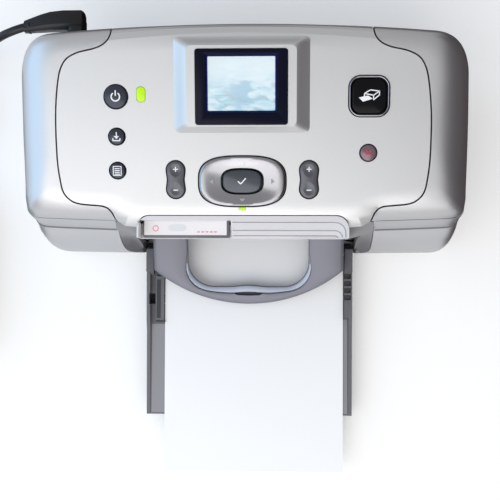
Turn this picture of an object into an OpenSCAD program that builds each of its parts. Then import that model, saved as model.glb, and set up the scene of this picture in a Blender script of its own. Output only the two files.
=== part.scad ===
// Compact photo printer with a folding paper tray, a picture screen and card slots.
// X is to the right, Y to the rear, Z up, with the feet on z = 0. The origin is on the table,
// under the middle of the printer with its paper. Inside placed(), y = 0 is the foot of the
// front skirt and every module draws in that frame.

/* [Body] */
// Width over the two rounded ends
body_w = 220; // [212:1:240]
// Depth of the body without its tray
body_d = 104; // [104:1:116]
// Height of the control panel at the rear edge
body_h = 111; // [110:1:118]
// Height of the control panel at its front edge
panel_front_h = 94; // [93:1:96]
// Wall thickness of the casings
wall = 2.2; // [1.8:0.1:2.6]
// Radius of the two rear corners seen from above
rear_corner_r = 13; // [9:1:18]
// Radius of the two front corners seen from above
front_corner_r = 22; // [16:1:28]
// Radius over which the panel rolls into the ends
end_roll_r = 17; // [12:1:20]
// Radius over which the panel rolls down at the front
front_roll_r = 16; // [13:1:17]
// Height of the seam between the upper covers and the base
seam_z = 84; // [82:1:86]
// Gap left at every seam
seam_gap = 0.4; // [0.3:0.1:0.6]
// Height of the rubber feet under the case
foot_h = 2; // [2:0.5:4]

/* [Face plate] */
// Half width of the face plate at its middle
plate_half = 90.6; // [84:0.5:92]
// Half width of the face plate where it meets the front and rear edges
plate_neck = 62; // [58:0.5:66]
// Height of the raised screen pad over the panel
hump_h = 4.4; // [3:0.1:5]
// Width of the screen pad on top
hump_w = 51.6; // [48:0.2:56]
// Width of each sloping side of the screen pad
hump_side = 6.8; // [4:0.2:9]

/* [Screen] */
// Width of the black screen frame
screen_w = 43.6; // [40:0.2:46]
// Depth of the black screen frame along the panel
screen_d = 35.2; // [32:0.2:36]
// Width of the picture
picture_w = 33.2; // [28:0.2:36]
// Depth of the picture along the panel
picture_d = 26.6; // [22:0.2:28]

/* [Buttons] */
// Radius of the power button
power_r = 6; // [5:0.1:7]
// Radius of the save, menu and cancel buttons
small_r = 4.4; // [3.6:0.1:5]
// Half distance between the two outer columns of buttons
column_x = 60; // [57:0.5:62]
// Half distance between the two rockers
rocker_x = 32; // [30:0.5:34]
// Radius of the round ends of a rocker
rocker_r = 4.7; // [4:0.1:5]
// Side of the square print button
print_w = 17; // [14:0.5:19]
// Width of the arrow pad
nav_w = 42; // [38:0.5:44]
// Depth of the arrow pad
nav_d = 23; // [20:0.5:24]
// Gap between a button and its hole
key_gap = 0.4; // [0.3:0.05:0.5]

/* [Card slots] */
// Half width of the stepped lip
lip_half = 51.5; // [51:0.5:52]
// Width of the memory card
card_w = 42.8; // [42.8:0.1:43]
// Length of the memory card
card_l = 36.4; // [34:0.1:38]
// Thickness of the memory card
card_t = 3.3; // [2.8:0.1:3.6]

/* [Trays and paper] */
// Outer width of the paper tray
tray_w = 117; // [117:0.5:117.6]
// Reach of the paper tray in front of the skirt
tray_reach = 91.9; // [84:0.5:98]
// Width of the photo paper
paper_w = 101.6; // [95:0.1:102]
// Length of the photo paper
paper_l = 165.1; // [155:0.1:170]
// Height of the loaded paper stack
paper_t = 0.8; // [0.4:0.1:1]
// How far the paper reaches in front of the skirt
paper_reach = 123.6; // [114:0.1:124]
// Reach of the output arch in front of the skirt
arch_reach = 28.3; // [24:0.5:30]

/* [Print mechanism] */
// Radius of the feed and exit rollers
roller_r = 5.5; // [5:0.1:5.6]
// Radius of the pick roller
pick_r = 6.5; // [6:0.1:6.6]
// Radius of the carriage rod
rod_r = 4; // [3:0.1:4.5]
// Width of the carriage
carriage_w = 30; // [26:1:32]
// Radius of the belt pulleys
pulley_r = 4; // [3.5:0.1:4]
// Half distance between the chassis side plates
plate_x = 88; // [88:0.5:88.5]
// Thickness of the chassis plate
plate_t = 1.5; // [1:0.1:1.6]

/* [Cord] */
// Thickness of the low voltage lead
cord_d = 4.5; // [3.6:0.1:5]
// Width of the power adapter
adapter_w = 52; // [44:1:54]
// Length of the power adapter
adapter_l = 92; // [80:1:100]
// Height of the power adapter
adapter_h = 30; // [24:1:34]

/* [Hidden] */
$fn = 48;

tiny = 0.01;
fit = 0.05;
clear = 0.3;
reach_y = 200;
body_y = (paper_reach - body_d) / 2;

// ---- panel plane ----
panel_y0 = 12;
panel_m = (body_h - panel_front_h) / (body_d - panel_y0);
slope = atan(panel_m);
function panel_z(y) = panel_front_h + (y - panel_y0) * panel_m;

// ---- body outline ----
side_bulge = 3;
front_bulge = 3.5;
rear_bulge = 2;
skirt_foot_z = 20;
skirt_lean = 11.5;
crease_z = 68;
crease_in = 0.8;
rear_roll_r = 7;
arc_steps = 7;
edge_steps = 6;
inner_floor = foot_h + 2.5;

function arc(cx, cy, rx, ry, a0, a1, n) =
    [for (i = [0:n]) let(a = a0 + (a1 - a0) * i / n) [cx + rx * cos(a), cy + ry * sin(a)]];

// Rounded rectangle whose straight sides bow outwards
function plan_raw(t) = let(
        hw = body_w / 2 - side_bulge - t,
        y0 = front_bulge + t,
        y1 = body_d - rear_bulge - t,
        rf = front_corner_r - t,
        rr = rear_corner_r - t
    ) concat(
        arc(hw - rf, y0 + rf, rf, rf, -90, 0, arc_steps),
        [for (i = [1:edge_steps - 1]) [hw, y0 + rf + (y1 - rr - y0 - rf) * i / edge_steps]],
        arc(hw - rr, y1 - rr, rr, rr, 0, 90, arc_steps),
        [for (i = [1:edge_steps - 1]) [(hw - rr) * (1 - 2 * i / edge_steps), y1]],
        arc(rr - hw, y1 - rr, rr, rr, 90, 180, arc_steps),
        [for (i = [1:edge_steps - 1]) [-hw, y1 - rr - (y1 - rr - y0 - rf) * i / edge_steps]],
        arc(rf - hw, y0 + rf, rf, rf, 180, 270, arc_steps),
        [for (i = [1:edge_steps - 1]) [(rf - hw) * (1 - 2 * i / edge_steps), y0]]
    );
function bow(p) = let(u = 2 * p[1] / body_d - 1, v = 2 * p[0] / body_w)
    [p[0] + side_bulge * v * (1 - u * u), p[1] + (u < 0 ? front_bulge * u : rear_bulge * u) * (1 - v * v)];
function plan_pts(t) = [for (p = plan_raw(t)) bow(p)];

// Side view of the body, from the front foot up over the roll and down the rear
roll_cy = skirt_lean + front_roll_r;
roll_cz = panel_z(roll_cy) - front_roll_r / cos(slope);
rear_cy = body_d - rear_roll_r;
rear_cz = panel_z(rear_cy) - rear_roll_r / cos(slope);
function side_pts(t) = concat(
    [[4 + t, foot_h + t], [1 + t, foot_h + 4], [t, skirt_foot_z]],
    [for (i = [1:4]) [t + skirt_lean * pow(i / 4, 0.8) + crease_in * i / 4,
        skirt_foot_z + (crease_z - skirt_foot_z) * i / 4]],
    [[skirt_lean + t, crease_z + 2.5]],
    arc(roll_cy, roll_cz, front_roll_r - t, front_roll_r - t, 180, 90 + slope, 8),
    arc(rear_cy, rear_cz, rear_roll_r - t, rear_roll_r - t, 90 + slope, 0, 5),
    [[body_d - t, 30], [body_d - 2 - t, foot_h + t]]
);

// Front view along the panel slope: rounded ends over a flat top
function end_pts(t) = concat(
    [[-body_w / 2 + t, -reach_y]],
    arc(end_roll_r - body_w / 2, -end_roll_r, end_roll_r - t, end_roll_r - t, 180, 90, arc_steps),
    arc(body_w / 2 - end_roll_r, -end_roll_r, end_roll_r - t, end_roll_r - t, 90, 0, arc_steps),
    [[body_w / 2 - t, -reach_y]]
);

module form(t) {
    intersection() {
        translate([0, 0, foot_h + t])
            linear_extrude(reach_y) polygon(plan_pts(t));
        translate([-body_w, 0, 0])
            rotate([90, 0, 90]) linear_extrude(2 * body_w) polygon(side_pts(t));
        translate([0, 0, panel_z(0)])
            rotate([slope, 0, 0]) translate([0, 2 * body_d, 0])
                rotate([90, 0, 0]) linear_extrude(4 * body_d) polygon(end_pts(t));
    }
}
module casing() {
    difference() {
        form(0);
        form(wall);
    }
}

// Local frame on the panel: z = 0 is its outer face at (x, y)
module on_panel(x, y) {
    translate([x, y, panel_z(y)]) rotate([slope, 0, 0]) children();
}
module slab(x0, x1, y0, y1, z0, z1) {
    translate([x0, y0, z0]) cube([x1 - x0, y1 - y0, z1 - z0]);
}
module rod_x(x0, x1, y, z, r) {
    translate([x0, y, z]) rotate([0, 90, 0]) cylinder(h = x1 - x0, r = r);
}
module rod_y(x, y0, y1, z, r) {
    translate([x, y1, z]) rotate([90, 0, 0]) cylinder(h = y1 - y0, r = r);
}
module round_block(w, d, r, z0, z1) {
    translate([0, 0, z0]) linear_extrude(z1 - z0) {
        square([w - 2 * r, d], center = true);
        square([w, d - 2 * r], center = true);
        for (sx = [-1, 1], sy = [-1, 1])
            translate([sx * (w / 2 - r), sy * (d / 2 - r)]) circle(r);
    }
}
module placed() {
    translate([0, body_y, 0]) children();
}

// ---- face plate outline ----
plate_front_y = 15;
plate_side_y0 = 26;
plate_side_y1 = 88;
plate_flare = 6;
plate_corner_r = 13;
plate_rear_y = 101;
function plate_half_pts(g) = let(
        w = plate_half + g,
        n = plate_neck + g,
        corner_x = plate_half - plate_corner_r,
        rc = plate_corner_r + g,
        rf = plate_flare - g
    ) concat(
        [[n, -20], [n, plate_front_y - 2]],
        arc(plate_neck + plate_flare, plate_front_y, rf, rf, 180, 100, 3),
        arc(corner_x, plate_side_y0 + 6, rc, rc, -80, 0, 5),
        [[w + 1.6, 52], [w + 1.6, 66]],
        arc(corner_x, plate_side_y1 - 10, rc, rc + 2, 0, 78, 5),
        arc(plate_neck + plate_flare, plate_rear_y, rf, rf, 258, 180, 3),
        [[n, reach_y]]
    );
module plate_zone(g) {
    pts = plate_half_pts(g);
    n = len(pts);
    translate([0, 0, seam_z]) linear_extrude(reach_y)
        polygon(concat(pts, [for (i = [1:n]) [-pts[n - i][0], pts[n - i][1]]]));
}

// ---- keys on the panel ----
key_top = 0.9;
flange_z = -wall - clear;
flange_t = 1;
stem_end = -6.2;
board_z = -7.4;
board_front = 23;
board_t = 1.6;
power_y = 72.2;
save_y = 53.7;
menu_y = 37.7;
print_y = 72;
cancel_y = 45.9;
rocker_y = 33.4;
rocker_step = 4.7;
rocker_pivot = -3.2;
nav_y = 32.9;
ok_w = 18.6;
ok_d = 11;
screen_y = 76.4;
picture_shift = 1.5;
light_w = 4.3;
light_d = 7.3;
light_x = -48;
light_y = 73.2;
card_light_y = 19.6;
card_light_w = 3.4;
card_light_d = 1.4;
ring_w = 1.5;
ring_t = 1.2;

module pill(w, d, z0, z1) {
    translate([0, 0, z0]) linear_extrude(z1 - z0) {
        square([w, d - w], center = true);
        for (s = [-1, 1]) translate([0, s * (d - w) / 2]) circle(w / 2);
    }
}
module rocker_shape(g, z0, z1) {
    translate([0, 0, z0]) linear_extrude(z1 - z0) {
        square([2 * rocker_r - 1.2 + 2 * g, 2 * rocker_step], center = true);
        for (s = [-1, 1]) translate([0, s * rocker_step]) circle(rocker_r + g);
    }
}
module round_key(r) {
    cylinder(h = key_top, r1 = r, r2 = r - 0.5);
    translate([0, 0, stem_end + 2]) cylinder(h = -stem_end - 2, r = r);
    translate([0, 0, flange_z - flange_t]) cylinder(h = flange_t, r = r + 1.1);
    translate([0, 0, stem_end]) cylinder(h = 2 + tiny, r = 1.6);
}
module key_holes() {
    on_panel(-column_x, power_y) translate([0, 0, -wall * 3]) cylinder(h = 30, r = power_r + key_gap);
    on_panel(-column_x, save_y) translate([0, 0, -wall * 3]) cylinder(h = 30, r = small_r + key_gap);
    on_panel(-column_x, menu_y) translate([0, 0, -wall * 3]) cylinder(h = 30, r = small_r + key_gap);
    on_panel(column_x, cancel_y) translate([0, 0, -wall * 3]) cylinder(h = 30, r = small_r + key_gap);
    for (s = [-1, 1]) on_panel(s * rocker_x, rocker_y) rocker_shape(key_gap, -6, 8);
    on_panel(0, nav_y) round_block(nav_w + 1.4, nav_d + 1.4, 9.7, -6, 8);
    on_panel(column_x, print_y)
        round_block(print_w + 2 * ring_w + 2 * fit, print_w + 2 * ring_w + 2 * fit, 5.5, -6, 8);
    on_panel(light_x, light_y) pill(light_w + 2 * fit, light_d + 2 * fit, -6, 8);
    on_panel(0, card_light_y)
        round_block(card_light_w + 2 * fit, card_light_d + 2 * fit, 0.5, -6, 8);
    on_panel(0, screen_y)
        round_block(screen_w + 2 * fit, screen_d + 2 * fit, 1.5, -8, 12);
}

// ---- front lip with its steps ----
lip_top_y = 16.3;
step_y = [13.6, 9.8, 7.4, 5.7];
step_drop = [1, 4.5, 8, 11.5];
// the card lies under the key board, and the lip and its slots follow it
socket_drop = 6.63;
card_rest_z = panel_z(board_front) + board_z - socket_drop;
lip_bottom = card_rest_z - 5;
card_x0 = -49.6;
card_front_y = 6;
card_bay_y = 14.3;
slot_low = [1, 23, card_rest_z - 1.4, card_rest_z + 0.8];
slot_high = [25.5, 47.5, card_rest_z + 2, card_rest_z + 4.2];
shelf_t = 1.5;
socket_y0 = 17;
reader_z = lip_bottom + shelf_t;
reader_t = 1.6;

// ---- opening in the front ----
opening_low = 60.8;
opening_high = 66;
throat_half = 59.4;
module opening_wedge(g, y0, y1, top) {
    translate([0, y1, 0]) rotate([90, 0, 0]) linear_extrude(y1 - y0)
        polygon([[-opening_low - g, inner_floor], [opening_low + g, inner_floor],
            [opening_high + g, seam_z - 8], [opening_high + g, top],
            [-opening_high - g, top], [-opening_high - g, seam_z - 8]]);
}

// ---- tray and arch ----
tray_hinge_y = 2.5;
tray_hinge_z = 8.5;
tray_pin_r = 1.8;
tray_half = tray_w / 2;
tray_floor_top = 12;
tray_floor_t = 2;
tray_back_y = 5;
rail_t = 2;
paper_x0 = -48.2;
paper_z = tray_floor_top + 0.1;
arch_y = 14;
arch_z = 31;
arch_pin_r = 1.8;
arch_half = 53;
arch_inner = 33.5;
arch_t = 2.4;
arch_tip_z = 17.5;
arch_edge_r = 80;
arch_hand_r = 14;
arch_bore_x = 51;
arch_lug_x = 48;
arch_lug_r = 2.8;
arch_slope = atan((arch_z - arch_tip_z) / (arch_y + arch_reach));
arch_len = sqrt(pow(arch_z - arch_tip_z, 2) + pow(arch_y + arch_reach, 2));

// ---- print mechanism ----
print_plane = 34;
gear_m = 0.8;
feed_y = 56;
gear_feed_n = 24;
gear_idler_n = 21;
gear_pinion_n = 12;
gear_pick_n = 15;
gear_pick_idler_n = 10;
feed_z = print_plane - roller_r;
exit_y = feed_y - gear_m * (gear_feed_n + gear_idler_n);
idler_y = feed_y - gear_m * (gear_feed_n + gear_idler_n) / 2;
pinion_y = feed_y + gear_m * (gear_feed_n + gear_pinion_n) / 2;
pick_z = paper_z + paper_t + clear + pick_r;
pick_span = gear_m * (gear_feed_n + 2 * gear_pick_idler_n + gear_pick_n) / 2;
pick_y = feed_y - sqrt(pow(pick_span, 2) - pow(feed_z - pick_z, 2));
pick_angle = 180 + atan((feed_z - pick_z) / (feed_y - pick_y));
pick_idler_span = gear_m * (gear_feed_n + gear_pick_idler_n) / 2;
pick_idler_y = feed_y + pick_idler_span * cos(pick_angle);
pick_idler_z = feed_z + pick_idler_span * sin(pick_angle);
shaft_r = 2.5;
shaft_end = plate_x + plate_t / 2 + 0.3;
axle_r = 1.5;
pinch_r = 3;
pinch_z = print_plane + 0.4 + pinch_r;
star_r = 3.2;
star_z = print_plane + 0.4 + star_r;
gear_t = 4.5;
gear_off = 0.6;
gear_x = plate_x + plate_t / 2 + gear_off;
rod_y0 = 66;
rod_z = 62;
rear_wall_y = 78.5;
motor_r = 11;
motor_x = 74;
belt_y0 = 73.4;
belt_y1 = 76.6;
belt_t = 1;
carriage_x = 58;
carriage_y0 = 27;
carriage_y1 = 49.5;
carriage_z0 = 36;
carriage_z1 = 73;
door_half = 49;
door_z0 = 43;
door_z1 = 73;
door_y = 17;
door_t = 2;
door_pin_r = 1.5;

function gear_pts(n, a0) = let(p = 360 / n, rp = gear_m * n / 2, rr = rp - 1.2 * gear_m,
        rt = rp + 0.85 * gear_m)
    [for (i = [0:n - 1], k = [[rr, -0.3], [rt, -0.11], [rt, 0.11], [rr, 0.3]])
        let(a = a0 + p * (i + k[1])) [k[0] * cos(a), k[0] * sin(a)]];
// A spur gear square to X: an angle of 0 points to the rear
module gear(x, y, z, n, a0, bore) {
    translate([x, y, z]) rotate([90, 0, 90]) linear_extrude(gear_t) difference() {
        polygon(gear_pts(n, a0));
        if (bore > 0) circle(bore);
    }
}

// ---- casings ----
screw_x = body_w / 2 - 9;
screw_y = [27, 84];
screw_r = 1.5;
boss_r = 3.6;
boss_z = 62;
jack_x = 20 - body_w / 2;
jack_z = 58;
jack_w = 11;
usb_x = jack_x + 28;
usb_z = 32;
usb_w = 12;
usb_h = 10.5;

module base_case() {
    color("#c9ccd1") {
        difference() {
            union() {
                intersection() {
                    casing();
                    slab(-body_w, body_w, -5, reach_y, 0, seam_z - seam_gap);
                }
                for (sx = [-1, 1], y = screw_y)
                    translate([sx * screw_x, y, foot_h + 1]) cylinder(h = boss_z - foot_h - 1, r = boss_r);
            }
            opening_wedge(0, -5, 26, seam_z + tiny);
            for (sx = [-1, 1], y = screw_y) translate([sx * screw_x, y, foot_h - 1]) {
                cylinder(h = boss_z, r = screw_r + 0.3);
                cylinder(h = 5, r = 3.2);
            }
            rod_y(jack_x, body_d - 8, body_d + 4, jack_z, 6.4);
            slab(usb_x - usb_w / 2 - 0.5, usb_x + usb_w / 2 + 0.5, body_d - 8, body_d + 4,
                usb_z - usb_h / 2 - 0.5, usb_z + usb_h / 2 + 0.5);
            for (i = [-5:5]) slab(20 + i * 4, 21.6 + i * 4, body_d - 6, body_d + 4, 60, 78);
        }
        for (x = [-52, -30, -9, 9, 30, 52]) slab(x - 1, x + 1, 9, 44, inner_floor - 0.5, tray_floor_top);
    }
}
module end_cover() {
    difference() {
        union() {
            intersection() {
                casing();
                slab(0, body_w, -5, reach_y, seam_z, reach_y);
            }
            intersection() {
                form(wall / 2);
                for (y = screw_y)
                    translate([screw_x, y, boss_z + 0.1]) cylinder(h = body_h, r = boss_r);
            }
        }
        plate_zone(seam_gap / 2);
        for (y = screw_y) translate([screw_x, y, boss_z - 1]) cylinder(h = 12, r = screw_r + fit);
    }
}
module left_end_cover() {
    color("#b7cee0") mirror([1, 0, 0]) end_cover();
}
module right_end_cover() {
    color("#a6a0a2") end_cover();
}
module hump() {
    y0 = screen_y - screen_d / 2 - 4;
    y1 = rear_cy + 1;
    on_panel(0, y0) translate([0, (y1 - y0) / cos(slope), -wall]) rotate([90, 0, 0])
        linear_extrude((y1 - y0) / cos(slope)) polygon([
            [-hump_w / 2 - hump_side, 0], [hump_w / 2 + hump_side, 0],
            [hump_w / 2 + hump_side, wall], [hump_w / 2, wall + hump_h],
            [-hump_w / 2, wall + hump_h], [-hump_w / 2 - hump_side, wall]]);
}
module hump_hollow() {
    y0 = screen_y - screen_d / 2 - 1.6;
    y1 = rear_cy - 1.4;
    on_panel(0, y0) translate([0, (y1 - y0) / cos(slope), -wall - 1]) rotate([90, 0, 0])
        linear_extrude((y1 - y0) / cos(slope)) polygon([
            [-hump_w / 2 - 1, 0], [hump_w / 2 + 1, 0],
            [hump_w / 2 - 1.4, hump_h + 1], [-hump_w / 2 + 1.4, hump_h + 1]]);
}
module top_panel() {
    color("#dfe3e8") difference() {
        union() {
            intersection() {
                casing();
                plate_zone(-seam_gap / 2);
            }
            hump();
        }
        hump_hollow();
        key_holes();
        slab(-lip_half - seam_gap, lip_half + seam_gap, -5, lip_top_y + seam_gap, seam_z - 5, reach_y);
    }
}
module throat_bezel() {
    color("#6c6a6d") difference() {
        union() {
            difference() {
                intersection() {
                    form(0.4);
                    opening_wedge(-clear, -5, 24, seam_z - seam_gap);
                }
                slab(-throat_half, throat_half, -10, 30, 0, reach_y);
                // hollow sweep of each cheek
                for (sx = [-1, 1])
                    translate([sx * (throat_half + 7), -4, 26]) rotate([-14, 0, 0]) cylinder(h = 52, r = 8.5);
            }
            for (sx = [-1, 1]) scale([sx, 1, 1]) {
                // pins of the paper tray and of the arch
                rod_x(throat_half - 4.4, throat_half + 1, tray_hinge_y, tray_hinge_z, tray_pin_r);
                rod_x(arch_bore_x + clear, throat_half + 1, arch_y, arch_z, arch_pin_r);
                // jamb and hinge lug of the cartridge door
                slab(door_half + 1.2, throat_half + 1, 19.2, 21.2, door_z0 - 3, lip_bottom);
                slab(door_half + 1.2, door_half + 4.2, 15, 19.3, door_z0 - 3, door_z0 + 4);
            }
        }
        rod_x(-door_half - 4.1, door_half + 4.1, door_y + 1, door_z0 + 0.5, door_pin_r + fit);
        rod_x(-body_w, body_w, exit_y, feed_z, shaft_r + clear);
        rod_x(-body_w, body_w, exit_y, star_z, axle_r);
    }
}
module rubber_feet() {
    color("#2b2b2d") for (sx = [-1, 1], y = [22, 84])
        translate([sx * (body_w / 2 - 26), y, 0]) cylinder(h = foot_h, r = 6.5);
}
module case_screws() {
    color("#8c8f94") for (sx = [-1, 1], y = screw_y) translate([sx * screw_x, y, 0]) {
        translate([0, 0, foot_h + 2]) cylinder(h = 2, r = 2.8);
        translate([0, 0, foot_h + 3]) cylinder(h = boss_z + 5 - foot_h, r = screw_r);
    }
}

// ---- screen ----
module lcd_frame() {
    color("#101018") on_panel(0, screen_y) difference() {
        round_block(screen_w, screen_d, 1.4, 1.5, hump_h + 0.5);
        translate([0, picture_shift, 0]) round_block(picture_w, picture_d, 0.6, 0, 10);
    }
}
module lcd_window() {
    color([0.8, 0.9, 1, 0.4]) on_panel(0, screen_y + picture_shift)
        round_block(picture_w - 2 * fit, picture_d - 2 * fit, 0.5, hump_h - 1.2, hump_h - 0.3);
}
module lcd_module() {
    color("#7fd4e8") on_panel(0, screen_y) {
        round_block(screen_w - 1, screen_d - 1, 1, -3.6, 1.4);
        translate([0, picture_shift, 0])
            round_block(picture_w - 1, picture_d - 1, 0.5, 1.3, hump_h - 1.3);
        for (sx = [-1, 1]) translate([sx * 14, -10, board_z]) cylinder(h = -board_z - 3.5, r = 2);
    }
}

// ---- keys ----
module power_button() {
    color("#1e2537") on_panel(-column_x, power_y) round_key(power_r);
}
module save_button() {
    color("#3a4150") on_panel(-column_x, save_y) round_key(small_r);
}
module menu_button() {
    color("#3a4150") on_panel(-column_x, menu_y) round_key(small_r);
}
module cancel_button() {
    color("#5a4a55") on_panel(column_x, cancel_y) round_key(small_r);
}
module rocker() {
    rocker_shape(0, -3.6, key_top - 0.2);
    translate([-rocker_r - 1.6, 0, rocker_pivot]) rotate([0, 90, 0])
        cylinder(h = 2 * rocker_r + 3.2, r = 0.7);
    for (s = [-1, 1]) translate([0, s * rocker_step, stem_end + 0.4]) cylinder(h = 3, r = 1.4);
}
module zoom_rocker() {
    color("#67676f") on_panel(-rocker_x, rocker_y) rocker();
}
module copies_rocker() {
    color("#67676f") on_panel(rocker_x, rocker_y) rocker();
}
module nav_cradle() {
    color("#303036") on_panel(0, nav_y) difference() {
        round_block(28, 16, 4, -6.2, -5.2);
        round_block(ok_w + 4, ok_d + 3, 3, -7, -4);
    }
}
module nav_pad() {
    color("#87878f") on_panel(0, nav_y) difference() {
        union() {
            round_block(nav_w, nav_d, 9, -2.6, key_top + 0.1);
            difference() {
                round_block(nav_w - 8, nav_d - 2, 8, -5, -2.5);
                round_block(nav_w - 12, nav_d - 6, 6, -6, -2.6);
            }
        }
        round_block(ok_w + 1.2, ok_d + 1.2, 5.2, -6, 8);
    }
}
module ok_button() {
    color("#5b6070") on_panel(0, nav_y) {
        round_block(ok_w, ok_d, 4.6, -4, key_top + 0.5);
        round_block(ok_w - 6, ok_d - 6, 2, stem_end, -3.9);
    }
}
module print_ring() {
    color("#d4d6dc") on_panel(column_x, print_y) difference() {
        union() {
            round_block(print_w + 2 * ring_w, print_w + 2 * ring_w, 5.5, -wall - ring_t, ring_t);
            round_block(print_w + 2 * ring_w + 2, print_w + 2 * ring_w + 2, 6, -wall - ring_t, -wall - fit);
        }
        round_block(print_w + 0.7, print_w + 0.7, 4.6, -6, 4);
    }
}
module print_button() {
    color("#0c0c10") on_panel(column_x, print_y) {
        round_block(print_w, print_w, 4.3, -3.2, key_top + 0.2);
        round_block(print_w + 3, print_w + 3, 5, -4.6, -3.8);
        round_block(6, 6, 1.5, stem_end, -3.1);
    }
}
module power_light() {
    color("#8fe000") on_panel(light_x, light_y) {
        pill(light_w, light_d, -wall - 2, 0.5);
        pill(light_w - 1.6, light_d - 1.6, board_z + tiny, -wall - 1.9);
    }
}
module card_light() {
    color("#38d060") on_panel(0, card_light_y)
        round_block(card_light_w, card_light_d, 0.4, board_z + tiny, 0.3);
}
board_half = 70;
board_strip = 34;
wing_l = 28;
module switch_at(x, y) {
    on_panel(x, y) translate([-2, -2, board_z - tiny]) cube([4, 4, 0.4]);
}
module key_switches() {
    for (p = [[-column_x, power_y], [-column_x, save_y], [-column_x, menu_y],
        [column_x, cancel_y], [column_x, print_y], [0, nav_y]]) switch_at(p[0], p[1]);
    for (sx = [-1, 1], s = [-1, 1]) {
        switch_at(sx * rocker_x, rocker_y + s * rocker_step);
        switch_at(sx * 15, nav_y);
    }
    for (s = [-1, 1]) switch_at(0, nav_y + s * 9);
}
module keypad_board() {
    color("#1f6b3a") on_panel(0, board_front) translate([0, 0, board_z - board_t]) linear_extrude(board_t) {
        translate([-board_half, 0]) square([2 * board_half, board_strip]);
        translate([-board_half, board_strip - tiny]) square([board_half - hump_w / 2 - 4, wing_l]);
        translate([hump_w / 2 + 4, board_strip - tiny]) square([board_half - hump_w / 2 - 4, wing_l]);
        translate([-17, board_strip - tiny]) square([34, 17]);
    }
    // pillars that carry the board from the face plate
    color("#1f6b3a") for (sx = [-1, 1], y = [28, 56]) on_panel(sx * 68, y)
        translate([0, 0, board_z - tiny]) cylinder(h = -board_z - wall, r = 2);
    color("#b8b8b0") key_switches();
}

// ---- card slots ----
module card_slot_panel() {
    color("#c8c6cb") difference() {
        union() {
            translate([-lip_half, 0, 0]) rotate([90, 0, 90]) linear_extrude(2 * lip_half) {
                z = [for (d = step_drop) panel_z(lip_top_y) - d];
                polygon([[step_y[3], lip_bottom], [step_y[3], z[3]], [step_y[2], z[3]],
                    [step_y[2], z[2]], [step_y[1], z[2]], [step_y[1], z[1]], [step_y[0], z[1]],
                    [step_y[0], z[0]], [lip_top_y, z[0]], [lip_top_y, lip_bottom]]);
            }
            // shelf that carries the reader board
            slab(-throat_half + 0.4, throat_half - 0.4, lip_top_y - 1, 44, lip_bottom,
                lip_bottom + shelf_t);
            // apron on both sides, under the edge of the face plate
            intersection() {
                form(0.5);
                slab(-throat_half + 0.4, throat_half - 0.4, 0, lip_top_y - 0.9, lip_bottom,
                    seam_z - seam_gap);
            }
        }
        // bay in which the memory card stands out
        slab(card_x0 - 0.9, card_x0 + card_w + 0.9, 0, card_bay_y, card_rest_z - clear, reach_y);
        slab(card_x0 - clear, card_x0 + card_w + clear, 10, 20, card_rest_z - clear,
            card_rest_z + card_t + clear);
        for (s = [slot_low, slot_high]) slab(s[0], s[1], 0, 30, s[2], s[3]);
    }
}
module card_reader_board() {
    color("#1f6b3a") slab(-48, 48, socket_y0, 58, reader_z, reader_z + reader_t);
}
module card_sockets() {
    z0 = reader_z + reader_t;
    color("#2a2a2e") {
        difference() {
            slab(card_x0 - 1.5, card_x0 + card_w + 1.5, socket_y0, card_front_y + card_l + 3, z0,
                card_rest_z + card_t + 1.5);
            slab(card_x0 - clear, card_x0 + card_w + clear, socket_y0 - 1, card_front_y + card_l + clear,
                card_rest_z - clear, card_rest_z + card_t + clear);
        }
        difference() {
            slab(-1, 49, socket_y0, 50, z0, slot_high[3] + 0.8);
            for (s = [slot_low, slot_high]) slab(s[0], s[1], socket_y0 - 1, 48, s[2], s[3]);
        }
    }
}
module memory_card() {
    color("#e8e8ea") slab(card_x0, card_x0 + card_w, card_front_y, card_front_y + card_l,
        card_rest_z, card_rest_z + card_t);
}
module cartridge_door() {
    color("#b9b7bc") {
        slab(-door_half, door_half, door_y, door_y + door_t, door_z0, door_z1);
        rod_x(-door_half - 3.6, door_half + 3.6, door_y + 1, door_z0 + 0.5, door_pin_r);
        slab(-12, 12, door_y - 1.6, door_y + 0.5, door_z1 - 8, door_z1 - 4);
    }
}

// ---- trays ----
module hand_hole(g) {
    r = arch_hand_r + g;
    translate([-arch_inner - g, 24 - arch_len]) square([2 * (arch_inner + g), arch_len]);
    for (sx = [-1, 1]) translate([sx * (arch_inner - arch_hand_r), 24 - arch_len]) circle(r);
    translate([arch_hand_r - arch_inner, 10 - g - arch_len])
        square([2 * (arch_inner - arch_hand_r), 20]);
}
module arch_outline() {
    difference() {
        intersection() {
            translate([-arch_half, -arch_len]) square([2 * arch_half, arch_len]);
            translate([0, arch_edge_r - arch_len]) circle(r = arch_edge_r, $fn = 120);
        }
        hand_hole(0);
    }
}
module output_tray() {
    color("#73717c") translate([0, arch_y, arch_z]) rotate([arch_slope, 0, 0]) difference() {
        union() {
            difference() {
                translate([0, 0, -arch_t / 2]) linear_extrude(arch_t) arch_outline();
                slab(-arch_lug_x, arch_lug_x, -3, 5, -5, 5);
            }
            // raised rim round the hand opening
            intersection() {
                translate([0, 0, arch_t / 2 - tiny]) linear_extrude(1) arch_outline();
                slab(-arch_half, arch_half, -arch_len, -4, 0, 5);
                linear_extrude(5) hand_hole(3);
            }
            for (sx = [-1, 1]) scale([sx, 1, 1]) rod_x(arch_lug_x, arch_half + 3, 0, 0, arch_lug_r);
        }
        for (sx = [-1, 1]) scale([sx, 1, 1]) rod_x(arch_bore_x, arch_half + 4, 0, 0, arch_pin_r + fit);
        // latch slot near the tip
        slab(-7, 7, 5.3 - arch_len, 7.5 - arch_len, -5, 5);
    }
}
guide_y0 = -39;
guide_y1 = -13;
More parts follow.
